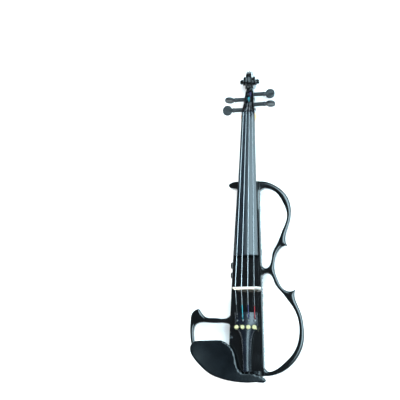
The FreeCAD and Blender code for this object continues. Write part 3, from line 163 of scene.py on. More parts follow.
def make_materials():
    """Every finish of the object, by the name that the pieces ask for."""
    flame = ("ShaderNodeTexWave", "Fac",
             {"Scale": 22.0, "Distortion": 3.0, "Detail": 2.0, "bands_direction": "Y"}, 0.35)
    granules = ("ShaderNodeTexVoronoi", "Distance", {"Scale": 900.0}, -0.7)
    return {
        # sprayed and buffed polyurethane: deep black with a soft unevenness
        "lacquer": surface("polished_black_polyurethane", "#050607", "#090B0D", (0.08, 0.17), 35.0,
                           IOR=1.52, Coat_Weight=0.5, Coat_Roughness=0.06),
        # oiled hardwood stained black: fine grain along the board, a silky sheen
        "ebony": surface("oiled_ebonised_hardwood", "#080B10", "#11171E", (0.26, 0.34), 1.0,
                         (1.0, 0.03, 1.0), relief_mm=0.04, IOR=1.52),
        # stained boxwood rubbed to a satin: dark slate grey, grain along the peg
        "peg": surface("satin_stained_peg_wood", "#131618", "#202427", (0.34, 0.44), 1.2,
                       (0.08, 1.0, 1.0), relief_mm=0.03, IOR=1.5),
        # bare oiled maple: tan, with cross flame and fine flecks
        "maple": surface("oiled_neck_maple", "#9C7146", "#C79F70", (0.4, 0.52), 0.9,
                         (1.0, 0.05, 1.0), (flame,), 0.03, IOR=1.48),
        # unfinished quarter-sawn maple: nearly white, with ray flecks
        "bridge": surface("bare_bridge_maple", "#E9E1CE", "#FAF7EE", (0.55, 0.65), 1.3,
                          (1.0, 1.0, 0.25), relief_mm=0.03, IOR=1.45),
        # injection-moulded nylon with a soft polish
        "tail": surface("satin_moulded_tailpiece", "#080C12", "#0F151F", (0.24, 0.3), 18.0, IOR=1.53),
        # injection-moulded ABS with a fine satin texture
        "rest": surface("satin_moulded_chin_rest", "#04070A", "#080D11", (0.22, 0.28), 18.0,
                        IOR=1.45),
        # spark-textured ABS of the covers
        "cover": surface("textured_black_abs", "#121214", "#1B1B1E", (0.5, 0.6), 0.6,
                         relief_mm=0.04, IOR=1.53),
        # moulded ABS of the dials and the switch
        "dial": surface("moulded_knob_abs", "#101012", "#18181B", (0.36, 0.44), 2.0, IOR=1.53),
        # thin gold plating over brass, worn a little pale
        "gold": surface("gold_plated_brass", "#DCCB90", "#EFE5BE", (0.38, 0.5), 3.0, Metallic=1.0),
        # bright nickel plating with faint wipe marks
        "nickel": surface("bright_nickel_plate", "#BDBBB6", "#D0CEC9", (0.1, 0.26), 4.0, Metallic=1.0),
        # zinc-plated steel, duller
        "steel": surface("zinc_plated_steel", "#909296", "#A6A8AC", (0.28, 0.42), 1.5, Metallic=1.0),
        # flat-wound steel strings, brushed round
        "string": surface("flat_wound_string_steel", "#C8CCD0", "#E0E3E7", (0.32, 0.44), 0.4,
                          Metallic=1.0),
        # pressed cork: tan granules with darker gaps
        "cork": surface("pressed_cork", "#7E5830", "#B98A58", (0.8, 0.9), 0.8, (1, 1, 1),
                        (granules,), 0.08),
        # braided nylon cord of the tailgut
        "nylon": surface("black_nylon_cord", "#0A0A0B", "#141416", (0.35, 0.45), 1.0),
        # soft grey PVC of the cables
        "cable": surface("grey_soft_pvc", "#696D70", "#808487", (0.45, 0.55), 2.0),
        # green solder mask on glass fibre
        "board": surface("green_solder_mask", "#0E3B1E", "#14502A", (0.3, 0.4), 3.0),
        # black epoxy of the chips
        "chip": surface("moulded_epoxy", "#121212", "#1D1D1D", (0.45, 0.55), 2.0),
        # painted steel jacket of the battery
        "cell": surface("painted_steel_jacket", "#2B3238", "#38414A", (0.26, 0.34), 9.0, Metallic=0.6),
        # turned beech of the dowels
        "beech": surface("turned_beech", "#B08656", "#CDA777", (0.55, 0.65), 2.0, (1.0, 1.0, 0.2)),
        # smoked acrylic of the power light
        "lens": surface("smoked_acrylic", "#16191B", "#22262A", (0.18, 0.26), 3.0, IOR=1.49),
        # dyed silk thread at the strings' ends, a colour for each string
        "silk_g": surface("black_silk", "#060709", "#101216", (0.6, 0.7), 0.6, Sheen_Weight=0.2),
        "silk_d": surface("cyan_silk", "#0E7484", "#22A0AE", (0.6, 0.7), 0.6, Sheen_Weight=0.2),
        "silk_a": surface("violet_silk", "#15143F", "#282766", (0.6, 0.7), 0.6, Sheen_Weight=0.2),
        "silk_e": surface("red_silk", "#8E0D1A", "#BC1E30", (0.6, 0.7), 0.6, Sheen_Weight=0.2),
        # undyed silk at the thinnest string's peg
        "thread": surface("undyed_silk", "#4A4F55", "#6A7077", (0.55, 0.65), 0.6, Sheen_Weight=0.2),
        # white pad print on the dials
        "mark": surface("white_pad_print", "#CFCFCB", "#E0E0DC", (0.45, 0.55), 2.0),
    }


PAINT = {}


# ---------------------------------------------------------------------------
# Mesh helpers
# ---------------------------------------------------------------------------

def piece(name, mesh, body, *replaced, slot=None, finish=None, angle=38.0):
    """Put a mesh (or bmesh) in the scene as a piece that rides on body."""
    if isinstance(mesh, bmesh.types.BMesh):
        source = mesh
        mesh = bpy.data.meshes.new(name)
        source.to_mesh(mesh)
        source.free()
    mesh.name = name
    obj = bpy.data.objects.new(name, mesh)
    bpy.context.scene.collection.objects.link(obj)
    for key in ([finish] if isinstance(finish, str) else finish or []):
        mesh.materials.append(PAINT[key])
    mesh.shade_smooth()
    mesh.set_sharp_from_angle(angle=math.radians(angle))
    if body:
        dress(obj, body, *replaced, slot=slot)
    return obj


def dress(obj, body, *replaced, slot=None):
    """Tell the frame what a finished piece rides on and replaces."""
    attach(obj, body)
    if replaced:
        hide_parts(*replaced)
    return obj


def settle(obj):
    """Turn an object's evaluated modifiers into plain mesh."""
    graph = bpy.context.evaluated_depsgraph_get()
    mesh = bpy.data.meshes.new_from_object(obj.evaluated_get(graph))
    obj.modifiers.clear()
    obj.data = mesh
    return obj


def boolean(obj, tool, operation):
    """Cut, join or intersect obj with tool, and remove tool."""
    modifier = obj.modifiers.new("Boolean", "BOOLEAN")
    modifier.operation = operation
    modifier.solver = "EXACT"
    modifier.object = tool
    settle(obj)
    bpy.data.objects.remove(tool)
    return obj


def merged(node):
    """A welded bmesh copy of a CAD node."""
    bm = bmesh.new()
    bm.from_mesh(frame["nodes"][node].data)
    bmesh.ops.remove_doubles(bm, verts=bm.verts, dist=1e-6)
    return bm


def islands(bm):
    """The mesh's separate solids, each as a list of vertices."""
    left = set(bm.verts)
    found = []
    while left:
        queue = [left.pop()]
        group = []
        while queue:
            v = queue.pop()
            group.append(v)
            near = {edge.other_vert(v) for edge in v.link_edges} & left
            left -= near
            queue.extend(near)
        found.append(group)
    return found


def bridge_rings(bm, rings, closed=True):
    """Quads between successive rings of vertices."""
    for a, b in zip(rings, rings[1:]):
        count = len(a)
        for i in range(count if closed else count - 1):
            j = (i + 1) % count
            bm.faces.new((a[i], a[j], b[j], b[i]))


def cap(bm, ring, flip=False):
    bm.faces.new(list(reversed(ring)) if flip else ring)


def lathe(bm, profile, axis_point, way, steps=48):
    """Turn (radius, distance) pairs about an axis; ends on the axis are closed."""
    way = Vector(way).normalized()
    side = way.orthogonal().normalized()
    other = way.cross(side)
    rings = []
    for radius, along in profile:
        centre = Vector(axis_point) + way * along
        ring = []
        for i in range(steps):
            turn = 2 * math.pi * i / steps
            ring.append(bm.verts.new(centre + (side * math.cos(turn) + other * math.sin(turn)) * radius))
        rings.append(ring)
    bridge_rings(bm, rings)
    cap(bm, rings[0], flip=True)
    cap(bm, rings[-1])
    return rings


def outward(bm):
    bmesh.ops.recalc_face_normals(bm, faces=bm.faces)
    return bm


# ---------------------------------------------------------------------------
# Outlines: loops in plan, rounded plates
# ---------------------------------------------------------------------------

def top_loops(node, z):
    """Closed boundary loops of a CAD node's flat face at height z."""
    bm = merged(node)
    edges = {}
    for face in bm.faces:
        if all(abs(v.co.z - z) < 2e-5 for v in face.verts) and face.normal.z > 0.9:
            for loop in face.loops:
                a, b = loop.vert.index, loop.link_loop_next.vert.index
                edges[a] = edges.get(a, []) + [b]
                if a in edges.get(b, []):
                    edges[b].remove(a)
                    edges[a].remove(b)
    places = {v.index: v.co.to_2d() for v in bm.verts}
    bm.free()
    loops = []
    while any(edges.values()):
        start = next(k for k, v in edges.items() if v)
        loop = [start]
        here = edges[start].pop()
        while here != start:
            loop.append(here)
            here = edges[here].pop()
        loops.append([places[i] for i in loop])
    return loops


def section_loops(node, z):
    """Closed loops where a CAD node is cut level at height z."""
    bm = merged(node)
    cut = bmesh.ops.bisect_plane(bm, geom=bm.verts[:] + bm.edges[:] + bm.faces[:], dist=1e-7,
                                 plane_co=(0, 0, z), plane_no=(0, 0, 1))["geom_cut"]
    edges = {e for e in cut if isinstance(e, bmesh.types.BMEdge)}
    loops = []
    while edges:
        edge = edges.pop()
        start, here = edge.verts
        loop = [start.co.to_2d()]
        while here != start:
            loop.append(here.co.to_2d())
            edge = next(e for e in here.link_edges if e in edges)
            edges.remove(edge)
            here = edge.other_vert(here)
        loops.append(loop)
    bm.free()
    return loops


def signed_area(loop):
    return sum(a.x * b.y - b.x * a.y for a, b in zip(loop, loop[1:] + loop[:1])) / 2


def resampled(loop, step):
    """The loop with evenly spaced points."""
    lengths = [(b - a).length for a, b in zip(loop, loop[1:] + loop[:1])]
    total = sum(lengths)
    count = max(8, round(total / step))
    points = []
    index = 0
    passed = 0.0
    for k in range(count):
        wanted = total * k / count
        while passed + lengths[index] < wanted:
            passed += lengths[index]
            index += 1
        a = loop[index]
        b = loop[(index + 1) % len(loop)]
        points.append(a.lerp(b, (wanted - passed) / lengths[index]))
    return points


def softened(loop, rounds):
    """The loop after a few rounds of averaging, for soft corners."""
    for _ in range(rounds):
        loop = [(a + b * 2 + c) / 4
                for a, b, c in zip(loop[-1:] + loop[:-1], loop, loop[1:] + loop[:1])]
    return loop


def union_loops(polygons):
    """Boundary loops of the union of overlapping polygons."""
    points = []
    faces = []
    for polygon in polygons:
        faces.append(list(range(len(points), len(points) + len(polygon))))
        points += polygon
    verts, _, tris, _, _, origins = geometry.delaunay_2d_cdt(points, [], faces, 1, 1e-7)
    edges = {}
    for tri in [tri for tri, origin in zip(tris, origins) if origin]:
        for a, b in zip(tri, tri[1:] + tri[:1]):
            if edges.get(b) and a in edges[b]:
                edges[b].remove(a)
            else:
                edges.setdefault(a, []).append(b)
    loops = []
    while any(edges.values()):
        start = next(k for k, v in edges.items() if v)
        loop = [start]
        here = edges[start].pop()
        while here != start:
            loop.append(here)
            here = edges[here].pop()
        loops.append([Vector(verts[i]) for i in loop])
    return loops


def inward_normals(loop):
    """Unit normals to the left of a loop's direction, into the material."""
    normals = []
    for a, b in zip(loop[-1:] + loop[:-1], loop[1:] + loop[:1]):
        along = (b - a).normalized()
        normals.append(Vector((-along.y, along.x)))
    return normals


def room_inside(loop, normals, others, limit):
    """How far each point can move inward before it meets another edge."""
    rooms = []
    cells = {}
    for p in others:
        cells.setdefault((int(p.x // limit), int(p.y // limit)), []).append(p)
    for p, n in zip(loop, normals):
        best = limit
        i, j = int(p.x // limit), int(p.y // limit)
        near = [q for a in range(i - 2, i + 3) for b in range(j - 2, j + 3)
                for q in cells.get((a, b), ())]
        for q in near:
            gap = q - p
            across = gap.dot(n)
            if across > 1e-6:
                best = min(best, gap.length_squared / (2 * across))
        rooms.append(best)
    exact = rooms
    for _ in range(8):
        rooms = [min(b, (a + c) / 2 + 1e-4) for a, b, c in
                 zip(rooms[-1:] + rooms[:-1], rooms, rooms[1:] + rooms[:1])]
    for _ in range(2):
        rooms = [(a + b + c) / 3
                 for a, b, c in zip(rooms[-1:] + rooms[:-1], rooms, rooms[1:] + rooms[:1])]
    return [min(pair) for pair in zip(rooms, exact)]


def fill_flat(bm, rings, up=True):
    """Fill between closed rings of vertices with triangles; the largest ring is the outer one."""
    rings = sorted(rings, key=lambda ring: -abs(signed_area([v.co.to_2d() for v in ring])))
    rings = [rings[0]] + [ring[::-1] for ring in rings[1:]]
    verts = [v for ring in rings for v in ring]
    counts = [0]
    for ring in rings:
        counts.append(counts[-1] + len(ring))
    faces = [list(range(a, b)) for a, b in zip(counts, counts[1:])]
    found, _, tris, sources, _, origins = geometry.delaunay_2d_cdt(
        [v.co.to_2d() for v in verts], [], faces, 1, 1e-9)
    tris = [tri for tri, origin in zip(tris, origins) if origin == [0]]
    level = verts[0].co.z
    corner_of = [verts[source[0]] if source else bm.verts.new((*spot, level))
                 for spot, source in zip(found, sources)]
    for tri in tris:
        corners = [corner_of[i] for i in tri]
        a, b, c = [v.co for v in corners]
        if ((b - a).cross(c - a).z > 0) != up:
            corners.reverse()
        bm.faces.new(corners)


def rounded_plate(loops, low, high, top_round, low_round, steps=6):
    """A plate with holes whose edges are rounded; loops run with the material on their left."""
    bm = bmesh.new()
    every = [p for loop in loops for p in loop]
    top_rings = []
    low_rings = []
    for loop in loops:
        normals = inward_normals(loop)
        rooms = room_inside(loop, normals, every, max(top_round, low_round, 0.001) * 1.25)
        rings = []
        for turn in range(steps, -1, -1):
            if low_round <= 0 and turn:
                continue
            slope = math.pi / 2 * turn / steps
            rings.append([bm.verts.new((p + n * min(low_round, r * 0.8) * (1 - math.cos(slope))).to_3d()
                                       + Vector((0, 0, low + min(low_round, r * 0.8) * (1 - math.sin(slope)))))
                          for p, n, r in zip(loop, normals, rooms)])
        for turn in range(0, steps + 1):
            slope = math.pi / 2 * turn / steps
            rings.append([bm.verts.new((p + n * min(top_round, r * 0.8) * (1 - math.cos(slope))).to_3d()
                                       + Vector((0, 0, high - min(top_round, r * 0.8) * (1 - math.sin(slope)))))
                          for p, n, r in zip(loop, normals, rooms)])
        bridge_rings(bm, rings)
        low_rings.append(rings[0])
        top_rings.append(rings[-1])
    fill_flat(bm, top_rings, up=True)
    fill_flat(bm, low_rings, up=False)
    return outward(bm)


# ---------------------------------------------------------------------------
# Body: core and side frames
# ---------------------------------------------------------------------------

def body_outline(settings):
    """The lacquered body's outline and openings, as one joined silhouette."""
    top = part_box("body_core")[1].z
    core = max(top_loops("body_core", top), key=lambda k: abs(signed_area(k)))
    if signed_area(core) < 0:
        core.reverse()
    polygons = [core]
    for node in ("right_frame", "left_frame"):
        loop = max(top_loops(node, top), key=lambda k: abs(signed_area(k)))
        tucked = []
        for p in loop:
            on_seam = min((geometry.intersect_point_line(p, a, b)[0].to_2d() - p).length
                          if -0.01 <= geometry.intersect_point_line(p, a, b)[1] <= 1.01 else 1.0
                          for a, b in zip(core, core[1:] + core[:1])) < 0.15 * MM
            shift = settings.seam_tuck * (-1 if p.x > 0 else 1) if on_seam else 0.0
            tucked.append(Vector((p.x + shift, p.y)))
        polygons.append(tucked)
    loops = [k for k in union_loops(polygons) if abs(signed_area(k)) > 1e-4]
    return core, [softened(resampled(k, settings.outline_step), 2) for k in loops]


class BodySettings(bpy.types.PropertyGroup):
    """Sizes of the lacquered body."""
    top_round: FloatProperty(name="Top rounding", description="Radius of the top edges",
                             default=0.0042, unit="LENGTH")
    back_round: FloatProperty(name="Back rounding", description="Radius of the frames' back edges",
                              default=0.004, unit="LENGTH")
    core_round: FloatProperty(name="Core rounding", description="Radius of the core's top edges",
                              default=0.0018, unit="LENGTH")
    outline_step: FloatProperty(name="Outline step", description="Spacing of the outline's points",
                                default=0.0012, unit="LENGTH")
    seam_tuck: FloatProperty(name="Seam tuck", description="How far the frames reach into the core",
                             default=0.001, unit="LENGTH")


class VIOLIN_OT_body(bpy.types.Operator):
    """Rounds and lacquers the core and the side frames"""
    bl_idname = "violin.body"
    bl_label = "Body"

    def execute(self, context):
        settings = context.scene.violin_body
        core, loops = body_outline(settings)
        low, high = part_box("right_frame")[0].z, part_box("right_frame")[1].z
        for node, side in (("right_frame", 1), ("left_frame", -1)):
            plate = rounded_plate(loops, low, high, settings.top_round, settings.back_round)
            obj = piece(node + "_lacquered", plate, None, finish="lacquer")
            boolean(obj, self.prism(core, side), "DIFFERENCE")
            self.smooth(obj)
            dress(obj, BODY, node, slot="black_lacquer")
        grown = [[p - n * 0.00002 for p, n in zip(k, inward_normals(k))] for k in loops]
        keeper = piece("keeper", rounded_plate(grown, -0.01, high, settings.core_round, 0.0), None)
        obj = piece("core_lacquered", merged("body_core"), None, finish="lacquer")
        boolean(obj, keeper, "INTERSECT")
        self.smooth(obj)
        dress(obj, BODY, "body_core", slot="black_lacquer")
        return {"FINISHED"}

    def smooth(self, obj):
        obj.data.shade_smooth()
        obj.data.set_sharp_from_angle(angle=math.radians(32))

    def prism(self, core, side):
        """Everything on the core's side of the seam, and the whole other half."""
        bm = bmesh.new()
        rings = [[bm.verts.new((p.x, p.y, z)) for p in core] for z in (-0.02, 0.06)]
        bridge_rings(bm, rings)
        cap(bm, rings[0], flip=True)
        cap(bm, rings[1])
        shape = piece("prism", outward(bm), None)
        half = bmesh.new()
        bmesh.ops.create_cube(half, size=1.0, matrix=Matrix.Translation((-side * 0.5, 0, 0)))
        return boolean(shape, piece("half", half, None), "UNION")


# ---------------------------------------------------------------------------
# Geometry Nodes trees
# ---------------------------------------------------------------------------

def new_tree(name, **inputs):
    """An empty tree with named inputs; each input is (socket type, default)."""
    tree = bpy.data.node_groups.new(name, "GeometryNodeTree")
    face = tree.interface
    face.new_socket("Geometry", in_out="INPUT", socket_type="NodeSocketGeometry")
    for label, (kind, default) in inputs.items():
        socket = face.new_socket(label.replace("_", " "), in_out="INPUT", socket_type="NodeSocket" + kind)
        if default is not None:
            socket.default_value = default
    face.new_socket("Geometry", in_out="OUTPUT", socket_type="NodeSocketGeometry")
    start = tree.nodes.new("NodeGroupInput").outputs
    end = tree.nodes.new("NodeGroupOutput").inputs
    return tree, start, end


def grow(obj, tree, **values):
    """Run a tree on obj with its inputs set, and keep the result as plain mesh."""
    modifier = obj.modifiers.new(tree.name, "NODES")
    modifier.node_group = tree
    for item in tree.interface.items_tree:
        key = item.name.replace(" ", "_")
        if item.in_out == "INPUT" and key in values:
            modifier[item.identifier] = values[key]
    return settle(obj)


def wound_thread_tree():
    """A thread wound on a straight core along +Z, from the origin."""
    tree, start, end = new_tree("wound_thread", Core_Radius=("Float", 0.001), Length=("Float", 0.01),
                                Thread_Radius=("Float", 0.0002), Turns=("Float", 10.0),
                                Thread=("Material", None))
    path = add_node(tree, "GeometryNodeCurveSpiral", {"Resolution": 20}, Rotations=start["Turns"],
                    Start_Radius=start["Core Radius"], End_Radius=start["Core Radius"],
                    Height=start["Length"])
    ring = add_node(tree, "GeometryNodeCurvePrimitiveCircle", {"Resolution": 6},
                    Radius=start["Thread Radius"])
    thread = add_node(tree, "GeometryNodeCurveToMesh", {"Fill Caps": True},
                      Curve=path.outputs["Curve"], Profile_Curve=ring.outputs["Curve"])
    paint = add_node(tree, "GeometryNodeSetMaterial", None, Geometry=thread.outputs["Mesh"],
                     Material=start["Thread"])
    whole = add_node(tree, "GeometryNodeRealizeInstances", None, Geometry=paint.outputs["Geometry"])
    tree.links.new(whole.outputs["Geometry"], end["Geometry"])
    return tree


def ribbed_rim_tree():
    """Ribs round a knob: the knob's own mesh plus bars standing on a circle about +Z."""
    tree, start, end = new_tree("ribbed_rim", Count=("Int", 30), Radius=("Float", 0.004),
                                Rib_Height=("Float", 0.004), Rib_Width=("Float", 0.0005),
                                Middle=("Float", 0.0), Metal=("Material", None))
    ring = add_node(tree, "GeometryNodeMeshCircle", None, Vertices=start["Count"], Radius=start["Radius"])
    lift = add_node(tree, "ShaderNodeCombineXYZ", None, Z=start["Middle"])
    raised = add_node(tree, "GeometryNodeTransform", None, Geometry=ring.outputs["Mesh"],
                      Translation=lift.outputs["Vector"])
    bar = add_node(tree, "GeometryNodeMeshCylinder", {"Vertices": 6, "Side Segments": 1},
                   Radius=start["Rib Width"], Depth=start["Rib Height"])
    placed = add_node(tree, "GeometryNodeInstanceOnPoints", None, Points=raised.outputs["Geometry"],
                      Instance=bar.outputs["Mesh"])
    whole = add_node(tree, "GeometryNodeRealizeInstances", None, Geometry=placed.outputs["Instances"])
    both = add_node(tree, "GeometryNodeJoinGeometry")
    tree.links.new(whole.outputs["Geometry"], both.inputs["Geometry"])
    tree.links.new(start["Geometry"], both.inputs["Geometry"])
    paint = add_node(tree, "GeometryNodeSetMaterial", None, Geometry=both.outputs["Geometry"],
                     Material=start["Metal"])
    tree.links.new(paint.outputs["Geometry"], end["Geometry"])
    return tree


def screw_heads_tree():
    """A countersunk cross-head screw, pointing up, on each point of the mesh."""
    tree, start, end = new_tree("screw_heads", Head_Radius=("Float", 0.0026),
                                Head_Height=("Float", 0.0013), Shank_Radius=("Float", 0.0013),
                                Shank_Length=("Float", 0.008), Steel=("Material", None))
    head = add_node(tree, "GeometryNodeMeshCylinder", {"Vertices": 32}, Radius=start["Head Radius"],
                    Depth=start["Head Height"])
    half = add_node(tree, "ShaderNodeMath", {"operation": "MULTIPLY", 1: 0.5})
    tree.links.new(start["Head Height"], half.inputs[0])
    up = add_node(tree, "ShaderNodeCombineXYZ", None, Z=half.outputs[0])
    seated = add_node(tree, "GeometryNodeTransform", None, Geometry=head.outputs["Mesh"],
                      Translation=up.outputs["Vector"])
    long = add_node(tree, "ShaderNodeMath", {"operation": "MULTIPLY", 1: 1.3})
    tree.links.new(start["Head Radius"], long.inputs[0])
    thin = add_node(tree, "ShaderNodeMath", {"operation": "MULTIPLY", 1: 0.26})
    tree.links.new(start["Head Radius"], thin.inputs[0])
    cut = seated.outputs["Geometry"]
    for sockets in (("X", "Y"), ("Y", "X")):
        size = add_node(tree, "ShaderNodeCombineXYZ", None, Z=start["Head Height"])
        tree.links.new(long.outputs[0], size.inputs[sockets[0]])
        tree.links.new(thin.outputs[0], size.inputs[sockets[1]])
        bar = add_node(tree, "GeometryNodeMeshCube", None, Size=size.outputs["Vector"])
        slot = add_node(tree, "GeometryNodeMeshBoolean", {"operation": "DIFFERENCE", "solver": "EXACT"})
        tree.links.new(cut, slot.inputs["Mesh 1"])
        tree.links.new(bar.outputs["Mesh"], slot.inputs["Mesh 2"])
        cut = slot.outputs["Mesh"]
    shank = add_node(tree, "GeometryNodeMeshCylinder", {"Vertices": 16}, Radius=start["Shank Radius"],
                     Depth=start["Shank Length"])
    reach = add_node(tree, "ShaderNodeMath", {"operation": "MULTIPLY_ADD", 1: 0.5})
    tree.links.new(start["Shank Length"], reach.inputs[0])
    tree.links.new(start["Head Height"], reach.inputs[2])
    above = add_node(tree, "ShaderNodeCombineXYZ", None, Z=reach.outputs[0])
    driven = add_node(tree, "GeometryNodeTransform", None, Geometry=shank.outputs["Mesh"],
                      Translation=above.outputs["Vector"])
    screw = add_node(tree, "GeometryNodeJoinGeometry")
    tree.links.new(cut, screw.inputs["Geometry"])
    tree.links.new(driven.outputs["Geometry"], screw.inputs["Geometry"])
    placed = add_node(tree, "GeometryNodeInstanceOnPoints", None, Points=start["Geometry"],
                      Instance=screw.outputs["Geometry"])
    whole = add_node(tree, "GeometryNodeRealizeInstances", None, Geometry=placed.outputs["Instances"])
    paint = add_node(tree, "GeometryNodeSetMaterial", None, Geometry=whole.outputs["Geometry"],
                     Material=start["Steel"])
    tree.links.new(paint.outputs["Geometry"], end["Geometry"])
    return tree


# ---------------------------------------------------------------------------
# Neck, pegbox and scroll
# ---------------------------------------------------------------------------

def along_stations(stations, y):
    """Values at y between stations of (y, value, ...), eased so that the line has no corners."""
    for before, after in zip(stations, stations[1:]):
        if y <= after[0] + 1e-9:
            t = max(0.0, (y - before[0]) / (after[0] - before[0]))
            index = stations.index(before)
            first = stations[max(index - 1, 0)]
            last = stations[min(index + 2, len(stations) - 1)]
            return [catmull(p, a, b, q, t) for p, a, b, q in
                    zip(first[1:], before[1:], after[1:], last[1:])]
    return list(stations[-1][1:])


def catmull(p, a, b, q, t):
    return (2 * a + (b - p) * t + (2 * p - 5 * a + 4 * b - q) * t * t
            + (3 * a - p - 3 * b + q) * t ** 3) / 2


def loft(bm, stations):
    """A closed skin through rings of points."""
    rings = [[bm.verts.new(p) for p in ring] for ring in stations]
    bridge_rings(bm, rings)
    cap(bm, rings[0], flip=True)
    cap(bm, rings[-1])


def fused(obj, voxel, rounds):
    """Fuse overlapping shells and soften their edges, as carving and sanding do."""
    remesh = obj.modifiers.new("Remesh", "REMESH")
    remesh.mode = "VOXEL"
    remesh.voxel_size = voxel
    remesh.adaptivity = 0.0
    soft = obj.modifiers.new("Smooth", "SMOOTH")
    soft.factor = 0.5
    soft.iterations = rounds
    settle(obj)
    obj.data.shade_smooth()
    return obj


class NeckSettings(bpy.types.PropertyGroup):
    """Sizes of the carved neck and scroll."""
    pitch: FloatProperty(name="Pitch", description="Slope of the fingerboard", default=math.radians(3),
                         subtype="ANGLE")
    voxel: FloatProperty(name="Carving detail", description="Smallest carved detail",
                         default=0.00055, unit="LENGTH")
    scroll: FloatProperty(name="Scroll radius", description="Radius of the scroll's outer turn",
                          default=0.021, unit="LENGTH")
    forward: FloatProperty(name="Scroll stretch", description="How far the scroll reaches forward",
                           default=1.12)
    reach: FloatProperty(name="Eye reach", description="Centre line to the end of the scroll's eye",
                         default=0.0185, unit="LENGTH")
    flute: FloatProperty(name="Flute depth", description="Depth of the scroll's two flutes",
                         default=0.0022, unit="LENGTH")
    cheek: FloatProperty(name="Cheek", description="Swelling of the neck below the nut",
                         default=0.0024, unit="LENGTH")
    cove: FloatProperty(name="Cove", description="Hollow between the scroll's turns",
                        default=0.0011, unit="LENGTH")
    eye: FloatProperty(name="Eye", description="Radius of the scroll's eye", default=0.0043,
                       unit="LENGTH")


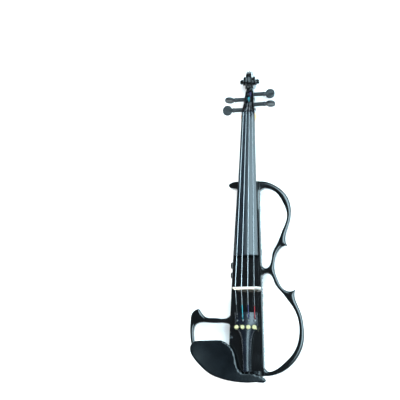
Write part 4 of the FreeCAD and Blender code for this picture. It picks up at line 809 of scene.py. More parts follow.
class VIOLIN_OT_neck(bpy.types.Operator):
    """Carves the neck, the pegbox and the scroll"""
    bl_idname = "violin.neck"
    bl_label = "Neck and scroll"

    def execute(self, context):
        settings = context.scene.violin_neck
        self.board_low, self.board_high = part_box("fingerboard")
        self.slope = math.tan(settings.pitch)
        self.head_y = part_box("nut")[1].y
        self.base_z = self.under(self.head_y - 1.5 * MM)
        bm = bmesh.new()
        self.shaft(bm, settings)
        self.pegbox(bm)
        self.scroll(bm, settings)
        obj = piece("neck_carved", outward(bm), None)
        fused(obj, settings.voxel, 5)
        for name in STRINGS:
            y, z = peg_axis(name)
            hole = bmesh.new()
            lathe(hole, [(4.0 * MM, 0), (4.0 * MM, 0.04)], (-0.02, y, z), (1, 0, 0), 40)
            boolean(obj, piece("hole", outward(hole), None), "DIFFERENCE")
        self.paint(obj)
        dress(obj, BODY, "neck", slot="maple_neck")
        return {"FINISHED"}

    def under(self, y):
        """Height of the fingerboard's underside at y."""
        return self.board_low.z + (self.board_high.y - y) * self.slope

    def shaft(self, bm, settings):
        """Heel and handle: flat under the fingerboard, round at the back."""
        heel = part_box("body_core")[1].y
        stations = [(heel, 37), (heel + 0.006, 35), (heel + 0.011, 30.5), (heel + 0.017, 24),
                    (heel + 0.024, 19), (heel + 0.034, 16.6), (heel + 0.06, 15), (heel + 0.1, 13.8),
                    (heel + 0.12, 13.8), (self.head_y + 0.004, 16)]
        rings = []
        count = 60
        for k in range(count + 1):
            y = heel + (self.head_y + 0.004 - heel) * k / count
            depth = along_stations(stations, y)[0] * MM
            wide = min((24 + 18 * (self.head_y - 1.5 * MM - y) / 0.27) * MM - 0.4 * MM, 30.5 * MM)
            if y > self.head_y - 0.012:
                wide = min(wide, 23.6 * MM)
            swell = max(0.0, 1 - abs(y - self.head_y + 0.0085) / 0.012)
            swell = swell * swell * (3 - 2 * swell)
            wide += 2 * settings.cheek * swell
            power = 0.85 - 0.35 * swell
            ring = []
            for step in range(25):
                turn = math.pi * step / 24
                across = math.copysign(abs(math.cos(turn)) ** power, math.cos(turn))
                ring.append(Vector((across * wide / 2, y, self.under(y) - depth * math.sin(turn) ** power)))
            rings.append(ring)
        loft(bm, rings)

    def pegbox(self, bm):
        """Cheeks, floor and rounded back, up to the throat under the scroll."""
        y, z = self.head_y, self.base_z
        outer = [(y, 12, -15.5, 3.0), (y + 0.016, 9.8, -24.5, -1.2), (y + 0.033, 8.4, -29.5, -6.2),
                 (y + 0.044, 7.2, -31.6, -10.4), (y + 0.0495, 5.5, -33.0, -13.0),
                 (y + 0.0635, 5.6, -35.7, -14.8)]
        inner = [(y, 7.8, -11), (y + 0.015, 5.8, -20.5), (y + 0.032, 4.4, -25), (y + 0.0455, 4.0, -25.8)]
        rings = []
        slot_end = y + 0.0455
        for k in range(33):
            here = y + 0.0635 * k / 32
            half, low, high = [v * MM for v in along_stations(outer, here)]
            gap, floor = [v * MM for v in along_stations(inner, min(here, slot_end))]
            if here > slot_end:
                gap, floor = 0.2 * MM, high - 0.2 * MM
            corner = 5.0 * MM
            ring = [Vector((-half, here, z + high)), Vector((-half, here, z + (high + low) / 2))]
            for step in range(7):
                turn = math.pi / 2 * step / 6
                ring.append(Vector((-half + corner * (1 - math.cos(turn)), here,
                                    z + low + corner * (1 - math.sin(turn)) * 1.2)))
            ring += [Vector((-p.x, p.y, p.z)) for p in reversed(ring)]
            ring += [Vector((gap, here, z + high)), Vector((gap, here, z + (high + floor) / 2)),
                     Vector((gap, here, z + floor)), Vector((-gap, here, z + floor)),
                     Vector((-gap, here, z + (high + floor) / 2)), Vector((-gap, here, z + high))]
            rings.append(ring)
        loft(bm, rings)

    def scroll(self, bm, settings):
        """The volute: a fluted band that winds in to the eye and widens as it goes."""
        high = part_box("neck")[1]
        radius = settings.scroll
        centre = Vector((0, high.y - radius, radius))
        widths = [(0.0, 5.6), (0.25, 4.7), (0.5, 5.8), (0.75, 8.8), (1.0, 9.8), (1.25, 10.4),
                  (1.5, 11.8), (1.75, 13.2), (2.0, 14.4), (2.5, 16.0)]
        tightening = math.log(radius / settings.eye) / 2.3
        per_turn = 60
        rings = []
        for k in range(int(2.5 * per_turn) + 1):
            t = k / per_turn
            reach = radius * math.exp(-tightening * max(0.0, t - 0.2))
            following = radius * math.exp(-tightening * min(2.3, max(0.0, t + 0.8)))
            half = along_stations(widths, t)[0] * MM
            depth = settings.flute * min(1.0, t / 0.12)
            way = Vector((0, math.sin(2 * math.pi * t), -math.cos(2 * math.pi * t)))
            wall = []
            for step in range(17):
                share = step / 16
                wall.append((half * share, reach - depth * math.sin(math.pi * share) ** 2))
            side = []
            for step in range(1, 9):
                share = step / 8
                dip = settings.cove * math.sin(math.pi * share) ** 2
                side.append((half - dip, reach + (following - reach) * share))
            outline = wall + side + [(half, 0.0)]
            if way.y > 0:
                way.y *= settings.forward
            ring = [centre + way * r + Vector((x, 0, 0)) for x, r in outline]
            ring += [centre + way * r - Vector((x, 0, 0)) for x, r in reversed(outline[1:])]
            rings.append(ring)
        loft(bm, rings)
        reach = settings.reach
        eye = settings.eye
        lathe(bm, [(eye * 0.55, -reach), (eye * 0.9, -reach + 0.5 * MM), (eye, -reach + 1.2 * MM),
                   (eye, reach - 1.2 * MM), (eye * 0.9, reach - 0.5 * MM), (eye * 0.55, reach)],
              centre, (1, 0, 0), 40)

    def paint(self, obj):
        """Bare maple from the heel to the pegbox, black lacquer from there on."""
        obj.data.materials.clear()
        obj.data.materials.append(PAINT["maple"])
        obj.data.materials.append(PAINT["lacquer"])
        bm = bmesh.new()
        bm.from_mesh(obj.data)
        edge = self.head_y - 1.5 * MM
        bmesh.ops.bisect_plane(bm, geom=bm.verts[:] + bm.edges[:] + bm.faces[:], dist=1e-7,
                               plane_co=(0, edge, 0), plane_no=(0, 1, 0))
        for face in bm.faces:
            face.material_index = 1 if face.calc_center_median().y > edge else 0
            face.smooth = True
        bm.to_mesh(obj.data)
        bm.free()


# ---------------------------------------------------------------------------
# Pegs and the string wound on them
# ---------------------------------------------------------------------------

def peg_axis(name):
    """Height and place along the neck of a peg's axis, from its joint."""
    joint = next(j for j in frame["joints"] if j["name"] == "peg_%s_turn" % name)
    return joint["pos_m"][1], joint["pos_m"][2]


class PegSettings(bpy.types.PropertyGroup):
    """Sizes of the pegs."""
    thumb_half: FloatProperty(name="Thumb half-height", description="Centre to edge of the thumbpiece",
                              default=0.0096, unit="LENGTH")
    thumb_length: FloatProperty(name="Thumb length", description="Thumbpiece along the peg",
                                default=0.0175, unit="LENGTH")
    thumb_thick: FloatProperty(name="Thumb thickness", description="Half-thickness of the thumbpiece",
                               default=0.004, unit="LENGTH")


class VIOLIN_OT_pegs(bpy.types.Operator):
    """Turns the four pegs and winds the strings' ends on them"""
    bl_idname = "violin.pegs"
    bl_label = "Pegs"

    # degrees that each thumbpiece is turned from lying flat
    REST = {"g": 8.0, "d": 75.0, "e": 74.0, "a": -6.0}
    THREAD = {"g": 0.45, "d": 0.42, "a": 0.38, "e": 0.3}

    def execute(self, context):
        settings = context.scene.violin_pegs
        tree = wound_thread_tree()
        for name in STRINGS:
            self.peg(name, settings)
            self.winding(name, tree)
        return {"FINISHED"}

    def peg(self, name, settings):
        low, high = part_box("peg_" + name)
        y, z = peg_axis(name)
        sign = 1 if high.x > -low.x else -1
        tip = -(low.x if sign > 0 else -high.x)
        end = high.x if sign > 0 else -low.x
        thumb = end - settings.thumb_length
        bm = bmesh.new()
        lathe(bm, [(2.2 * MM, -tip), (3.2 * MM, -tip + 0.6 * MM), (3.45 * MM, 0.0), (3.8 * MM, 0.012),
                   (4.0 * MM, thumb - 5 * MM), (4.5 * MM, thumb - 4.4 * MM), (4.7 * MM, thumb - 3.2 * MM),
                   (4.4 * MM, thumb - 2.0 * MM), (3.7 * MM, thumb - 1.4 * MM), (3.6 * MM, thumb),
                   (3.4 * MM, thumb + 4 * MM)], (0, 0, 0), (1, 0, 0), 40)
        rings = []
        for k in range(33):
            share = k / 32
            x = thumb - 0.5 * MM + (settings.thumb_length + 0.4 * MM) * share
            bell = max(0.0, 1 - abs(2 * share - 1) ** 2.2) ** 0.5
            half = 0.8 * MM + (settings.thumb_half - 0.8 * MM) * bell
            thick = (3.0 * MM + (settings.thumb_thick - 3.0 * MM) * math.sin(math.pi * share))
            thick *= min(1.0, bell * 2.2 + 0.25)
            ring = []
            for step in range(40):
                turn = 2 * math.pi * step / 40
                across = half * math.cos(turn)
                dish = 1 - 0.42 * math.exp(-(across / (half * 0.55 + 1e-5)) ** 2) * bell
                ring.append(Vector((x, across, thick * math.copysign(abs(math.sin(turn)) ** 0.75,
                                                                     math.sin(turn)) * dish)))
            rings.append(ring)
        loft(bm, rings)
        turn = Matrix.Rotation(math.radians(self.REST[name]), 4, "X")
        if sign < 0:
            turn = turn @ Matrix.Rotation(math.pi, 4, "Y")
        bmesh.ops.transform(bm, matrix=Matrix.Translation((0, y, z)) @ turn, verts=bm.verts)
        obj = piece("peg_%s_turned" % name, outward(bm), None, finish="peg")
        fused(obj, 0.00036, 4)
        dress(obj, "peg_" + name, "peg_" + name, slot="ebony")

    def winding(self, name, tree):
        """Turns of string side by side on the peg."""
        low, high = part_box("winding_" + name)
        thread = self.THREAD[name] * MM
        core = (high.z - low.z) / 2 - thread * 2
        length = high.x - low.x - thread * 2
        obj = piece("turns_" + name, bpy.data.meshes.new("turns"), None)
        grow(obj, tree, Core_Radius=core + thread, Length=length, Thread_Radius=thread,
             Turns=length / (thread * 2), Thread=PAINT["silk_" + name if name != "e" else "thread"])
        y, z = peg_axis(name)
        place = Matrix.Translation((low.x + thread, y, z)) @ Matrix.Rotation(math.pi / 2, 4, "Y")
        obj.data.transform(place)
        obj.data.shade_smooth()
        dress(obj, "peg_" + name, "winding_" + name, slot="silk_wrap")


# ---------------------------------------------------------------------------
# Silk wraps on the strings' tail ends
# ---------------------------------------------------------------------------

class VIOLIN_OT_silk(bpy.types.Operator):
    """Wraps coloured silk round the strings' ends at the tailpiece"""
    bl_idname = "violin.silk"
    bl_label = "Silk wraps"

    RADIUS = {"g": 0.42, "d": 0.42, "a": 0.36, "e": 0.2}
    LENGTH = {"g": 17.0, "d": 16.0, "a": 16.5, "e": 13.5}

    def execute(self, context):
        tree = wound_thread_tree()
        fret_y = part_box("tailpiece")[1].y - 3 * MM
        seat_y = (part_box("bridge")[0].y + 0.8 * MM)
        for name in STRINGS:
            fret = self.centre(name, fret_y, 1.6 * MM)
            seat = self.centre(name, seat_y, 1.6 * MM)
            ball = self.centre(name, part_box("string_" + name)[0].y + 1.7 * MM, 1.8 * MM)
            along = (seat - fret).normalized()
            self.wrap(name, "front", tree, fret + along * 0.6 * MM, fret + along * self.LENGTH[name] * MM)
            inner = (fret - ball).normalized()
            self.wrap(name, "back", tree, ball + inner * 2.0 * MM, fret - inner * 0.6 * MM)
        return {"FINISHED"}

    def centre(self, name, y, reach):
        """Middle of a string near y."""
        near = [v.co for v in frame["nodes"]["string_" + name].data.vertices
                if abs(v.co.y - y) < reach]
        low = Vector([min(c[i] for c in near) for i in range(3)])
        high = Vector([max(c[i] for c in near) for i in range(3)])
        return (low + high) / 2

    def wrap(self, name, label, tree, start, end):
        thread = 0.17 * MM
        radius = self.RADIUS[name] * MM
        length = (end - start).length
        obj = piece("silk_%s_%s" % (name, label), bpy.data.meshes.new("silk"), None)
        grow(obj, tree, Core_Radius=radius + thread * 0.6, Length=length, Thread_Radius=thread,
             Turns=length / (thread * 1.9), Thread=PAINT["silk_" + name])
        turn = (end - start).to_track_quat("Z", "Y").to_matrix().to_4x4()
        obj.data.transform(Matrix.Translation(start) @ turn)
        obj.data.shade_smooth()
        dress(obj, BODY, slot="silk_wrap")


# ---------------------------------------------------------------------------
# Bridge
# ---------------------------------------------------------------------------

class BridgeSettings(bpy.types.PropertyGroup):
    """Sizes of the bridge."""
    edge: FloatProperty(name="Top thickness", description="Thickness at the strings", default=0.0016,
                        unit="LENGTH")
    soft: FloatProperty(name="Edge rounding", description="Rounding of the cut edges", default=0.0003,
                        unit="LENGTH")


class VIOLIN_OT_bridge(bpy.types.Operator):
    """Cuts the bridge from maple, with its heart, kidneys and feet"""
    bl_idname = "violin.bridge"
    bl_label = "Bridge"

    DROP = (1.5, 0.0, 0.5, 3.0)

    def execute(self, context):
        settings = context.scene.violin_bridge
        low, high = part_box("bridge")
        floor = low.z
        tall = high.z - low.z
        half = (high.x - low.x) / 2
        crown = half - 2 * MM
        right = [(half, 0), (half, 1.3), (half - 2 * MM, 3.6), (half - 6 * MM, 6.0), (half - 8 * MM, 9),
                 (half - 7.4 * MM, 12.5), (half - 4 * MM, 14.2), (half - 1.6 * MM, 16.2),
                 (crown + 0.9 * MM, 18.5), (crown + 0.6 * MM, 22), (crown - 0.4 * MM, 26.3)]
        right = [(x, z * MM) for x, z in right]
        top = [(33.5 * MM * (i / 3 - 0.5), tall - self.DROP[i] * MM) for i in (3, 2, 1, 0)]
        left = [(-x, z) for x, z in reversed(right)]
        arch = [(-half + 11 * MM, 0), (-half + 12.5 * MM, 3.2 * MM), (-half + 17 * MM, 5.6 * MM),
                (0, 6.6 * MM), (half - 17 * MM, 5.6 * MM), (half - 12.5 * MM, 3.2 * MM),
                (half - 11 * MM, 0)]
        curve = bpy.data.curves.new("bridge", "CURVE")
        curve.dimensions = "2D"
        curve.fill_mode = "BOTH"
        thick = high.y - low.y
        curve.extrude = thick / 2 - settings.soft
        curve.bevel_depth = settings.soft
        curve.bevel_resolution = 2
        curve.offset = -settings.soft
        corners = {0, 1, len(right) - 1, len(right) + 3, len(right) + 4, len(right) * 2 + 3,
                   len(right) * 2 + 4, len(right) * 2 + 10}
        self.outline(curve, right + top + left + arch, corners)
        mid = tall * 0.56
        heart = [(0, mid - 5 * MM), (2.6 * MM, mid - 1.5 * MM), (4.6 * MM, mid + 1.8 * MM),
                 (2.8 * MM, mid + 4.6 * MM), (0, mid + 2.6 * MM), (-2.8 * MM, mid + 4.6 * MM),
                 (-4.6 * MM, mid + 1.8 * MM), (-2.6 * MM, mid - 1.5 * MM)]
        self.outline(curve, heart, {0, 4})
        for side in (-1, 1):
            x = side * (half - 9.6 * MM)
            ring = [(x + 3.6 * MM * math.cos(a), 15 * MM + 2.8 * MM * math.sin(a))
                    for a in [math.tau * k / 8 for k in range(8)]]
            self.outline(curve, ring, set())
        flat = bpy.data.objects.new("bridge_curve", curve)
        context.scene.collection.objects.link(flat)
        cut_out = bpy.data.meshes.new_from_object(
            flat.evaluated_get(context.evaluated_depsgraph_get()))
        bpy.data.objects.remove(flat)
        back = low.y
        for v in cut_out.vertices:
            x, z, y = v.co
            share = min(1.0, max(0.0, (z - 4 * MM) / (tall - 4 * MM)))
            wide = thick + (settings.edge - thick) * share
            v.co = (x, back + wide * (0.5 - y / thick), floor + z)
        bm = bmesh.new()
        bm.from_mesh(cut_out)
        bmesh.ops.remove_doubles(bm, verts=bm.verts, dist=1e-6)
        obj = piece("bridge_cut", outward(bm), None, finish="bridge", angle=50)
        dress(obj, BODY, "bridge", slot="bridge_maple")
        return {"FINISHED"}

    def outline(self, curve, points, corners):
        """One closed outline; the points in corners stay sharp."""
        line = curve.splines.new("BEZIER")
        line.bezier_points.add(len(points) - 1)
        line.use_cyclic_u = True
        line.resolution_u = 6
        for index, (knot, (x, z)) in enumerate(zip(line.bezier_points, points)):
            knot.co = (x, z, 0)
            kind = "VECTOR" if index in corners else "AUTO"
            knot.handle_left_type = kind
            knot.handle_right_type = kind


# ---------------------------------------------------------------------------
# Chin rest
# ---------------------------------------------------------------------------

class RestSettings(bpy.types.PropertyGroup):
    """Sizes of the moulded chin rest."""
    shell: FloatProperty(name="Shell", description="Thickness of the cup", default=0.0048,
                         unit="LENGTH")
    cup: FloatProperty(name="Cup depth", description="Depth of the chin's hollow", default=0.0042,
                       unit="LENGTH")
    voxel: FloatProperty(name="Moulding detail", description="Smallest moulded detail",
                         default=0.0008, unit="LENGTH")


class VIOLIN_OT_chin_rest(bpy.types.Operator):
    """Moulds the chin rest's cup, ridge and feet"""
    bl_idname = "violin.chin_rest"
    bl_label = "Chin rest"

    def execute(self, context):
        settings = context.scene.violin_rest
        low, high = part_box("chin_rest")
        outline = max(section_loops("chin_rest", high.z - 8.4 * MM), key=lambda k: abs(signed_area(k)))
        if signed_area(outline) < 0:
            outline.reverse()
        outline = softened(resampled(outline, 0.0015), 3)
        bm = bmesh.new()
        inner = [p for p in self.grid(outline, 0.003)]
        count = len(outline)
        points = outline + inner
        found, _, tris, sources, _, _ = geometry.delaunay_2d_cdt(points, [], [list(range(count))], 1, 1e-9)
        upper = []
        lower = []
        for spot, source in zip(found, sources):
            rim = source and source[0] < count
            height = self.height(Vector(spot), low, high, settings)
            drop = 1.6 * MM if rim else 0.0
            upper.append(bm.verts.new((spot[0], spot[1], height - drop)))
            deep = self.underside(height, high, settings)
            lower.append(bm.verts.new((spot[0], spot[1], deep + drop)))
        for tri in tris:
            bm.faces.new([upper[i] for i in tri])
            bm.faces.new([lower[i] for i in reversed(tri)])
        rim_of = {source[0]: k for k, source in enumerate(sources) if source and source[0] < count}
        for i in range(count):
            a, b = rim_of[i], rim_of[(i + 1) % count]
            bm.faces.new((upper[a], upper[b], lower[b], lower[a]))
        self.feet(bm)
        obj = piece("chin_rest_moulded", outward(bm), None, finish="rest")
        fused(obj, settings.voxel, 6)
        obj.data.materials.clear()
        obj.data.materials.append(PAINT["rest"])
        dress(obj, BODY, "chin_rest", slot="black_moulding")
        return {"FINISHED"}

    def grid(self, outline, step):
        """Points inside the outline, on an even grid."""
        ys = [p.y for p in outline]
        y = min(ys) + step
        while y < max(ys):
            crossings = sorted(a.x + (b.x - a.x) * (y - a.y) / (b.y - a.y)
                               for a, b in zip(outline, outline[1:] + outline[:1])
                               if (a.y - y) * (b.y - y) < 0)
            for left, right in zip(crossings[::2], crossings[1::2]):
                x = math.ceil((left + step * 0.5) / step) * step
                while x < right - step * 0.5:
                    yield Vector((x, y))
                    x += step
            y += step

    def height(self, p, low, high, settings):
        """The top surface: a raised rim, the chin's hollow, and the arm sloping to the treble side."""
        wide = high.x - low.x
        along = (p.x - low.x) / wide
        arm = max(0.0, (along - 0.62) / 0.38)
        rim = high.z - 0.6 * MM - 3.4 * MM * arm ** 1.3
        centre = Vector((low.x + wide * 0.31, low.y + (high.y - low.y) * 0.56))
        reach = Vector((wide * 0.33, (high.y - low.y) * 0.5))
        off = Vector(((p.x - centre.x) / reach.x, (p.y - centre.y) / reach.y))
        inside = max(0.0, 1 - off.length_squared)
        slope = 1.6 * MM * max(0.0, min(1.0, (centre.y - p.y) / reach.y))
        return rim - settings.cup * inside ** 1.35 - slope

    def underside(self, height, high, settings):
        """The cup's underside follows its top; near the clamp it is flat."""
        flat = high.z - 9.5 * MM
        return max(flat, height - settings.shell)

    def feet(self, bm):
        """Two feet on the corks and two ears for the clamp's rods."""
        foot_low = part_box("body_core")[1].z + 2 * MM
        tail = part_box("body_core")[0].y
        for side in (-1, 1):
            x = side * 18 * MM
            for y0, y1, z0, z1 in ((tail, tail + 9 * MM, foot_low, foot_low + 6.8 * MM),
                                   (tail - 9.5 * MM, tail + 1 * MM, foot_low + 2 * MM,
                                    foot_low + 8 * MM)):
                size = Vector((12 * MM, y1 - y0, z1 - z0))
                middle = Vector((x, (y0 + y1) / 2, (z0 + z1) / 2))
                shape = Matrix.Translation(middle) @ Matrix.Diagonal((*size, 1))
                bmesh.ops.create_cube(bm, size=1.0, matrix=shape)


# ---------------------------------------------------------------------------
# Knobs and screws
# ---------------------------------------------------------------------------

class VIOLIN_OT_knobs(bpy.types.Operator):
    """Makes the fine tuners' knurled knobs and the volume and tone dials"""
    bl_idname = "violin.knobs"
    bl_label = "Knobs"

    def execute(self, context):
        tree = ribbed_rim_tree()
        for name in STRINGS:
            self.tuner(name, tree)
        for name in ("volume_knob", "tone_knob"):
            self.dial(name, tree)
        return {"FINISHED"}

    def tuner(self, name, tree):
        node = "tuner_knob_" + name
        low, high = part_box(node)
        radius = (high.x - low.x) / 2
        tall = 5.0 * MM
        base = high.z - tall
        bm = bmesh.new()
        screw = 1.4 * MM
        lathe(bm, [(screw, low.z - base), (screw, 0), (radius - 1.0 * MM, 0), (radius - 0.35 * MM, 0.7 * MM),
                   (radius - 0.35 * MM, tall - 0.9 * MM), (radius - 1.1 * MM, tall - 0.1 * MM),
                   (radius - 1.9 * MM, tall), (radius - 2.3 * MM, tall - 0.7 * MM), (0.5 * MM, tall - 0.9 * MM)],
              (0, 0, 0), (0, 0, 1), 48)
        obj = piece(node + "_knurled", outward(bm), None, finish="gold")
        grow(obj, tree, Count=40, Radius=radius - 0.32 * MM, Rib_Height=tall - 1.6 * MM,
             Rib_Width=0.3 * MM, Middle=tall / 2 - 0.1 * MM, Metal=PAINT["gold"])
        obj.data.transform(Matrix.Translation(((low.x + high.x) / 2, (low.y + high.y) / 2, base)))
        obj.data.set_sharp_from_angle(angle=math.radians(35))
        dress(obj, node, node, slot="tuner_metal")

    def dial(self, node, tree):
        low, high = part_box(node)
        radius = (high.z - low.z) / 2
        deep = 8.0 * MM
        spindle = high.x - low.x - deep
        bm = bmesh.new()
        lathe(bm, [(3.0 * MM, -spindle), (3.0 * MM, 0), (radius - 0.7 * MM, 0), (radius - 0.4 * MM, 0.4 * MM),
                   (radius - 0.4 * MM, deep - 1.2 * MM), (radius - 1.3 * MM, deep), (0.6 * MM, deep - 0.5 * MM)],
              (0, 0, 0), (0, 0, 1), 48)
        obj = piece(node + "_ribbed", outward(bm), None, finish="dial")
        grow(obj, tree, Count=24, Radius=radius - 0.42 * MM, Rib_Height=deep - 2.2 * MM,
             Rib_Width=0.42 * MM, Middle=deep / 2 - 0.4 * MM, Metal=PAINT["dial"])
        turn = Matrix.Rotation(-math.pi / 2, 4, "Y")
        seat = Vector((low.x + deep, (low.y + high.y) / 2, (low.z + high.z) / 2))
        obj.data.transform(Matrix.Translation(seat) @ turn)
        obj.data.set_sharp_from_angle(angle=math.radians(35))
        dress(obj, node, node, slot="control_plastic")
        line = bmesh.new()
        shape = Matrix.Translation((low.x + 0.12 * MM, (low.y + high.y) / 2,
                                    (low.z + high.z) / 2 + radius * 0.55))
        bmesh.ops.create_cube(line, size=1.0, matrix=shape @ Matrix.Diagonal((0.7 * MM, 0.7 * MM, 3.4 * MM, 1)))
        bmesh.ops.bevel(line, geom=line.edges[:], offset=0.15 * MM, segments=2, affect="EDGES")
        mark = piece(node + "_line", line, None, finish="mark")
        dress(mark, node, slot="control_plastic")


class VIOLIN_OT_screws(bpy.types.Operator):
    """Drives the cover's cross-head screws and the neck's two"""
    bl_idname = "violin.screws"
    bl_label = "Screws"

    def execute(self, context):
        groups = self.places()
        tree = screw_heads_tree()
        bm = bmesh.new()
        for x, y, z, radius in groups:
            if radius < 3 * MM:
                bm.verts.new((x, y, z))
        obj = piece("cover_screws", bm, None)
        grow(obj, tree, Steel=PAINT["steel"])
        deep = bmesh.new()
        for x, y, z, radius in groups:
            if radius >= 3 * MM:
                deep.verts.new((x, y, z))
        other = piece("neck_screws", deep, None)
        grow(other, tree, Head_Radius=3.9 * MM, Head_Height=3 * MM, Shank_Radius=2 * MM,
             Shank_Length=20 * MM, Steel=PAINT["steel"])
        obj.data.set_sharp_from_angle(angle=math.radians(35))
        other.data.set_sharp_from_angle(angle=math.radians(35))
        dress(obj, BODY, "body_screws", slot="screw_steel")
        dress(other, BODY, slot="screw_steel")
        return {"FINISHED"}

    def places(self):
        """Lowest point of each screw's axis and its head's radius, from the CAD solids."""
        bm = merged("body_screws")
        found = []
        for verts in islands(bm):
            xs = [v.co.x for v in verts]
            ys = [v.co.y for v in verts]
            found.append(((min(xs) + max(xs)) / 2, (min(ys) + max(ys)) / 2,
                          min(v.co.z for v in verts), (max(xs) - min(xs)) / 2))
        bm.free()
        return found


# ---------------------------------------------------------------------------
# Pieces that keep their CAD shape
# ---------------------------------------------------------------------------

class VIOLIN_OT_fittings(bpy.types.Operator):
    """Finishes the pieces that keep their CAD shape, with softened edges"""
    bl_idname = "violin.fittings"
    bl_label = "Fittings"

    # slot, finish, edge rounding in millimetres, and the nodes that have them
    KEPT = (
        ("ebony", "ebony", 0.5, "fingerboard", "end_saddle"),
        ("ebony", "ebony", 0.0, "nut", "end_pin"),
        ("black_moulding", "tail", 0.0, "tailpiece"),
        ("tuner_metal", "gold", 0.25, "tuner_lever_g", "tuner_lever_d", "tuner_lever_a",
         "tuner_lever_e"),
        ("tuner_metal", "nickel", 0.0, "tuner_pivot"),
        ("string_steel", "string", 0.0, "string_g", "string_d", "string_a", "string_e"),
        ("nylon_gut", "nylon", 0.0, "tailgut"),
        ("cork", "cork", 0.3, "clamp_corks"),
        ("nickel_plate", "nickel", 0.3, "clamp_bracket"),
        ("nickel_plate", "nickel", 0.0, "clamp_rods", "clamp_barrel_bass", "clamp_barrel_treble",
         "line_out_socket", "headphone_socket"),
        ("cover_plastic", "cover", 0.2, "back_cover", "battery_door", "control_panel"),
        ("screw_steel", "steel", 0.0, "door_hinge_pin", "control_pots", "board_standoffs"),
        ("control_plastic", "dial", 0.2, "switch_housing", "switch_slider", "battery_clip"),
        ("battery_case", "cell", 0.6, "battery"),
        ("circuit_board", "board", 0.0, "preamp_board"),
        ("components", "chip", 0.1, "board_components"),
        ("cable_jacket", "cable", 0.0, "piezo_cable", "battery_lead"),
        ("pickup_metal", "steel", 0.3, "piezo_pickup"),
        ("indicator", "lens", 0.0, "power_light"),
    )

    def execute(self, context):
        for slot, finish, edge, *nodes in self.KEPT:
            for node in nodes:
                obj = piece(node + "_finished", merged(node), None, finish=finish)
                if edge:
                    self.soften(obj, edge * MM)
                dress(obj, frame["nodes"][node]["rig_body"], node, slot=slot)
        self.dowels()
        return {"FINISHED"}

    def soften(self, obj, edge):
        bevel = obj.modifiers.new("Bevel", "BEVEL")
        bevel.width = edge
        bevel.segments = 2
        bevel.limit_method = "ANGLE"
        bevel.angle_limit = math.radians(40)
        bevel.harden_normals = True
        settle(obj)

    DOWEL_SHARE = 0.55

    def dowels(self):
        """Turned dowels, cut to about half length so that none shows through a rounded edge."""
        bm = merged("frame_dowels")
        for verts in islands(bm):
            middle = (min(v.co.x for v in verts) + max(v.co.x for v in verts)) / 2
            for v in verts:
                v.co.x = middle + (v.co.x - middle) * self.DOWEL_SHARE
        piece("dowels_turned", bm, BODY, "frame_dowels", slot="dowel_wood", finish="beech")


# ---------------------------------------------------------------------------
# Stage
# ---------------------------------------------------------------------------

class StageSettings(bpy.types.PropertyGroup):
    """Camera, floor and lights."""
    lens: FloatProperty(name="Lens", description="Focal length in millimetres", default=90.0)
    camera: FloatVectorProperty(name="Camera", description="Where the camera stands",
                                default=(0.2939, -0.2015, 1.807), subtype="XYZ", unit="LENGTH")
    forward: FloatVectorProperty(name="Looking", description="The way the camera looks",
                                 default=(-0.2076, 0.1983, -0.9579), subtype="XYZ")
    upward: FloatVectorProperty(name="Up", description="The camera's own up",
                                default=(0.028, 0.98, 0.1968), subtype="XYZ")
    window: FloatProperty(name="Window light", description="Power of the large light at the treble side",
                          default=100.0, unit="POWER")
    fill: FloatProperty(name="Fill light", description="Power of the light at the tail",
                        default=46.0, unit="POWER")
    ceiling: FloatProperty(name="Ceiling light", description="Power of the light overhead",
                           default=60.0, unit="POWER")
    room: FloatProperty(name="Room light", description="Strength of the light from all round",
                        default=0.08, min=0.0)


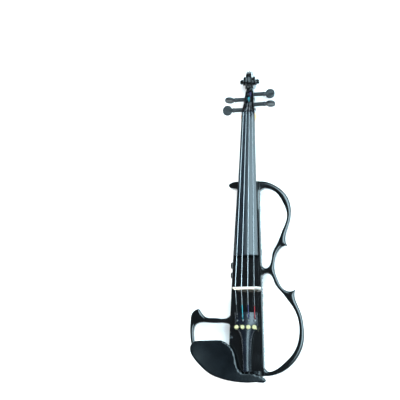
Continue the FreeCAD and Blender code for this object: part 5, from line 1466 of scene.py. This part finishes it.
class VIOLIN_OT_stage(bpy.types.Operator):
    """Sets the pale floor, the soft light and the camera"""
    bl_idname = "violin.stage"
    bl_label = "Stage"

    def execute(self, context):
        settings = context.scene.violin_stage
        self.camera(context.scene, settings)
        self.floor()
        self.light("window_light", (0.78, 0.4, 1.38), (0.0, 0.1, 0.0), (1.75, 1.7), settings.window,
                   "#C2E2EE", True)
        self.light("fill_light", (-0.3, -1.5, 1.1), (0, 0, 0), (1.4, 1.0), settings.fill, "#FFFDF8",
                   False)
        self.light("ceiling_light", (-0.2, 0.0, 2.3), (0, 0, 0), (3.0, 3.0), settings.ceiling,
                   "#FFFFFF", False)
        world = bpy.data.worlds.new("room")
        world.use_nodes = True
        back = world.node_tree.nodes["Background"]
        back.inputs["Color"].default_value = linear("#DDE4EA")
        back.inputs["Strength"].default_value = settings.room
        context.scene.world = world
        context.scene.view_settings.view_transform = "Standard"
        return {"FINISHED"}

    def camera(self, scene, settings):
        data = bpy.data.cameras.new("camera")
        data.lens = settings.lens
        data.clip_start = 0.01
        camera = bpy.data.objects.new("camera", data)
        scene.collection.objects.link(camera)
        back = -Vector(settings.forward).normalized()
        right = Vector(settings.upward).cross(back).normalized()
        up = back.cross(right)
        turn = Matrix((right, up, back)).transposed().to_4x4()
        camera.matrix_world = Matrix.Translation(settings.camera) @ turn
        scene.camera = camera

    def floor(self):
        bm = bmesh.new()
        bmesh.ops.create_grid(bm, x_segments=1, y_segments=1, size=6.0)
        bmesh.ops.translate(bm, verts=bm.verts, vec=(0, 0, -0.2 * MM))
        mesh = bpy.data.meshes.new("floor")
        bm.to_mesh(mesh)
        bm.free()
        mesh.materials.append(self.backdrop())
        obj = bpy.data.objects.new("floor", mesh)
        bpy.context.scene.collection.objects.link(obj)
        obj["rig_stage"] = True

    def backdrop(self):
        """Matt paper: pale and even, with a faint mottle from its fibres."""
        return surface("matt_white_paper", "#F1F2F4", "#F7F8F9", (0.88, 0.92), 400.0)

    def light(self, name, place, target, size, power, colour, mirrored):
        """A rectangular light; one that is not mirrored leaves no highlight."""
        data = bpy.data.lights.new(name, "AREA")
        data.shape = "RECTANGLE"
        data.size, data.size_y = size
        data.energy = power
        data.color = linear(colour)[:3]
        lamp = bpy.data.objects.new(name, data)
        lamp.location = place
        lamp.rotation_euler = (Vector(target) - Vector(place)).to_track_quat("-Z", "Y").to_euler()
        lamp.visible_glossy = mirrored
        bpy.context.scene.collection.objects.link(lamp)


# ---------------------------------------------------------------------------
# Add-on parts
# ---------------------------------------------------------------------------

class VIOLIN_PT_panel(bpy.types.Panel):
    """Lists the violin's operators"""
    bl_label = "Violin"
    bl_idname = "VIOLIN_PT_panel"
    bl_space_type = "VIEW_3D"
    bl_region_type = "UI"
    bl_category = "Violin"

    def draw(self, context):
        for operator in OPERATORS:
            self.layout.operator(operator.bl_idname)


OPERATORS = (VIOLIN_OT_stage, VIOLIN_OT_body, VIOLIN_OT_neck, VIOLIN_OT_pegs, VIOLIN_OT_silk,
             VIOLIN_OT_bridge, VIOLIN_OT_chin_rest, VIOLIN_OT_knobs, VIOLIN_OT_screws,
             VIOLIN_OT_fittings)
GROUPS = {"violin_body": BodySettings, "violin_neck": NeckSettings, "violin_pegs": PegSettings,
          "violin_bridge": BridgeSettings, "violin_rest": RestSettings, "violin_stage": StageSettings}


def register():
    for cls in (*GROUPS.values(), *OPERATORS, VIOLIN_PT_panel):
        bpy.utils.register_class(cls)
    for name, group in GROUPS.items():
        setattr(bpy.types.Scene, name, PointerProperty(type=group))


def unregister():
    for name in GROUPS:
        delattr(bpy.types.Scene, name)
    for cls in (VIOLIN_PT_panel, *reversed(OPERATORS), *reversed(tuple(GROUPS.values()))):
        bpy.utils.unregister_class(cls)


def main():
    register()
    PAINT.update(make_materials())
    for operator in OPERATORS:
        group, name = operator.bl_idname.split(".")
        getattr(getattr(bpy.ops, group), name)()
    boxes = {"cad": CAD_BOX, "visual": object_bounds()}
    {key: [list(corner) for corner in box] for key, box in boxes.items()}


if __name__ == "__main__":
    main()
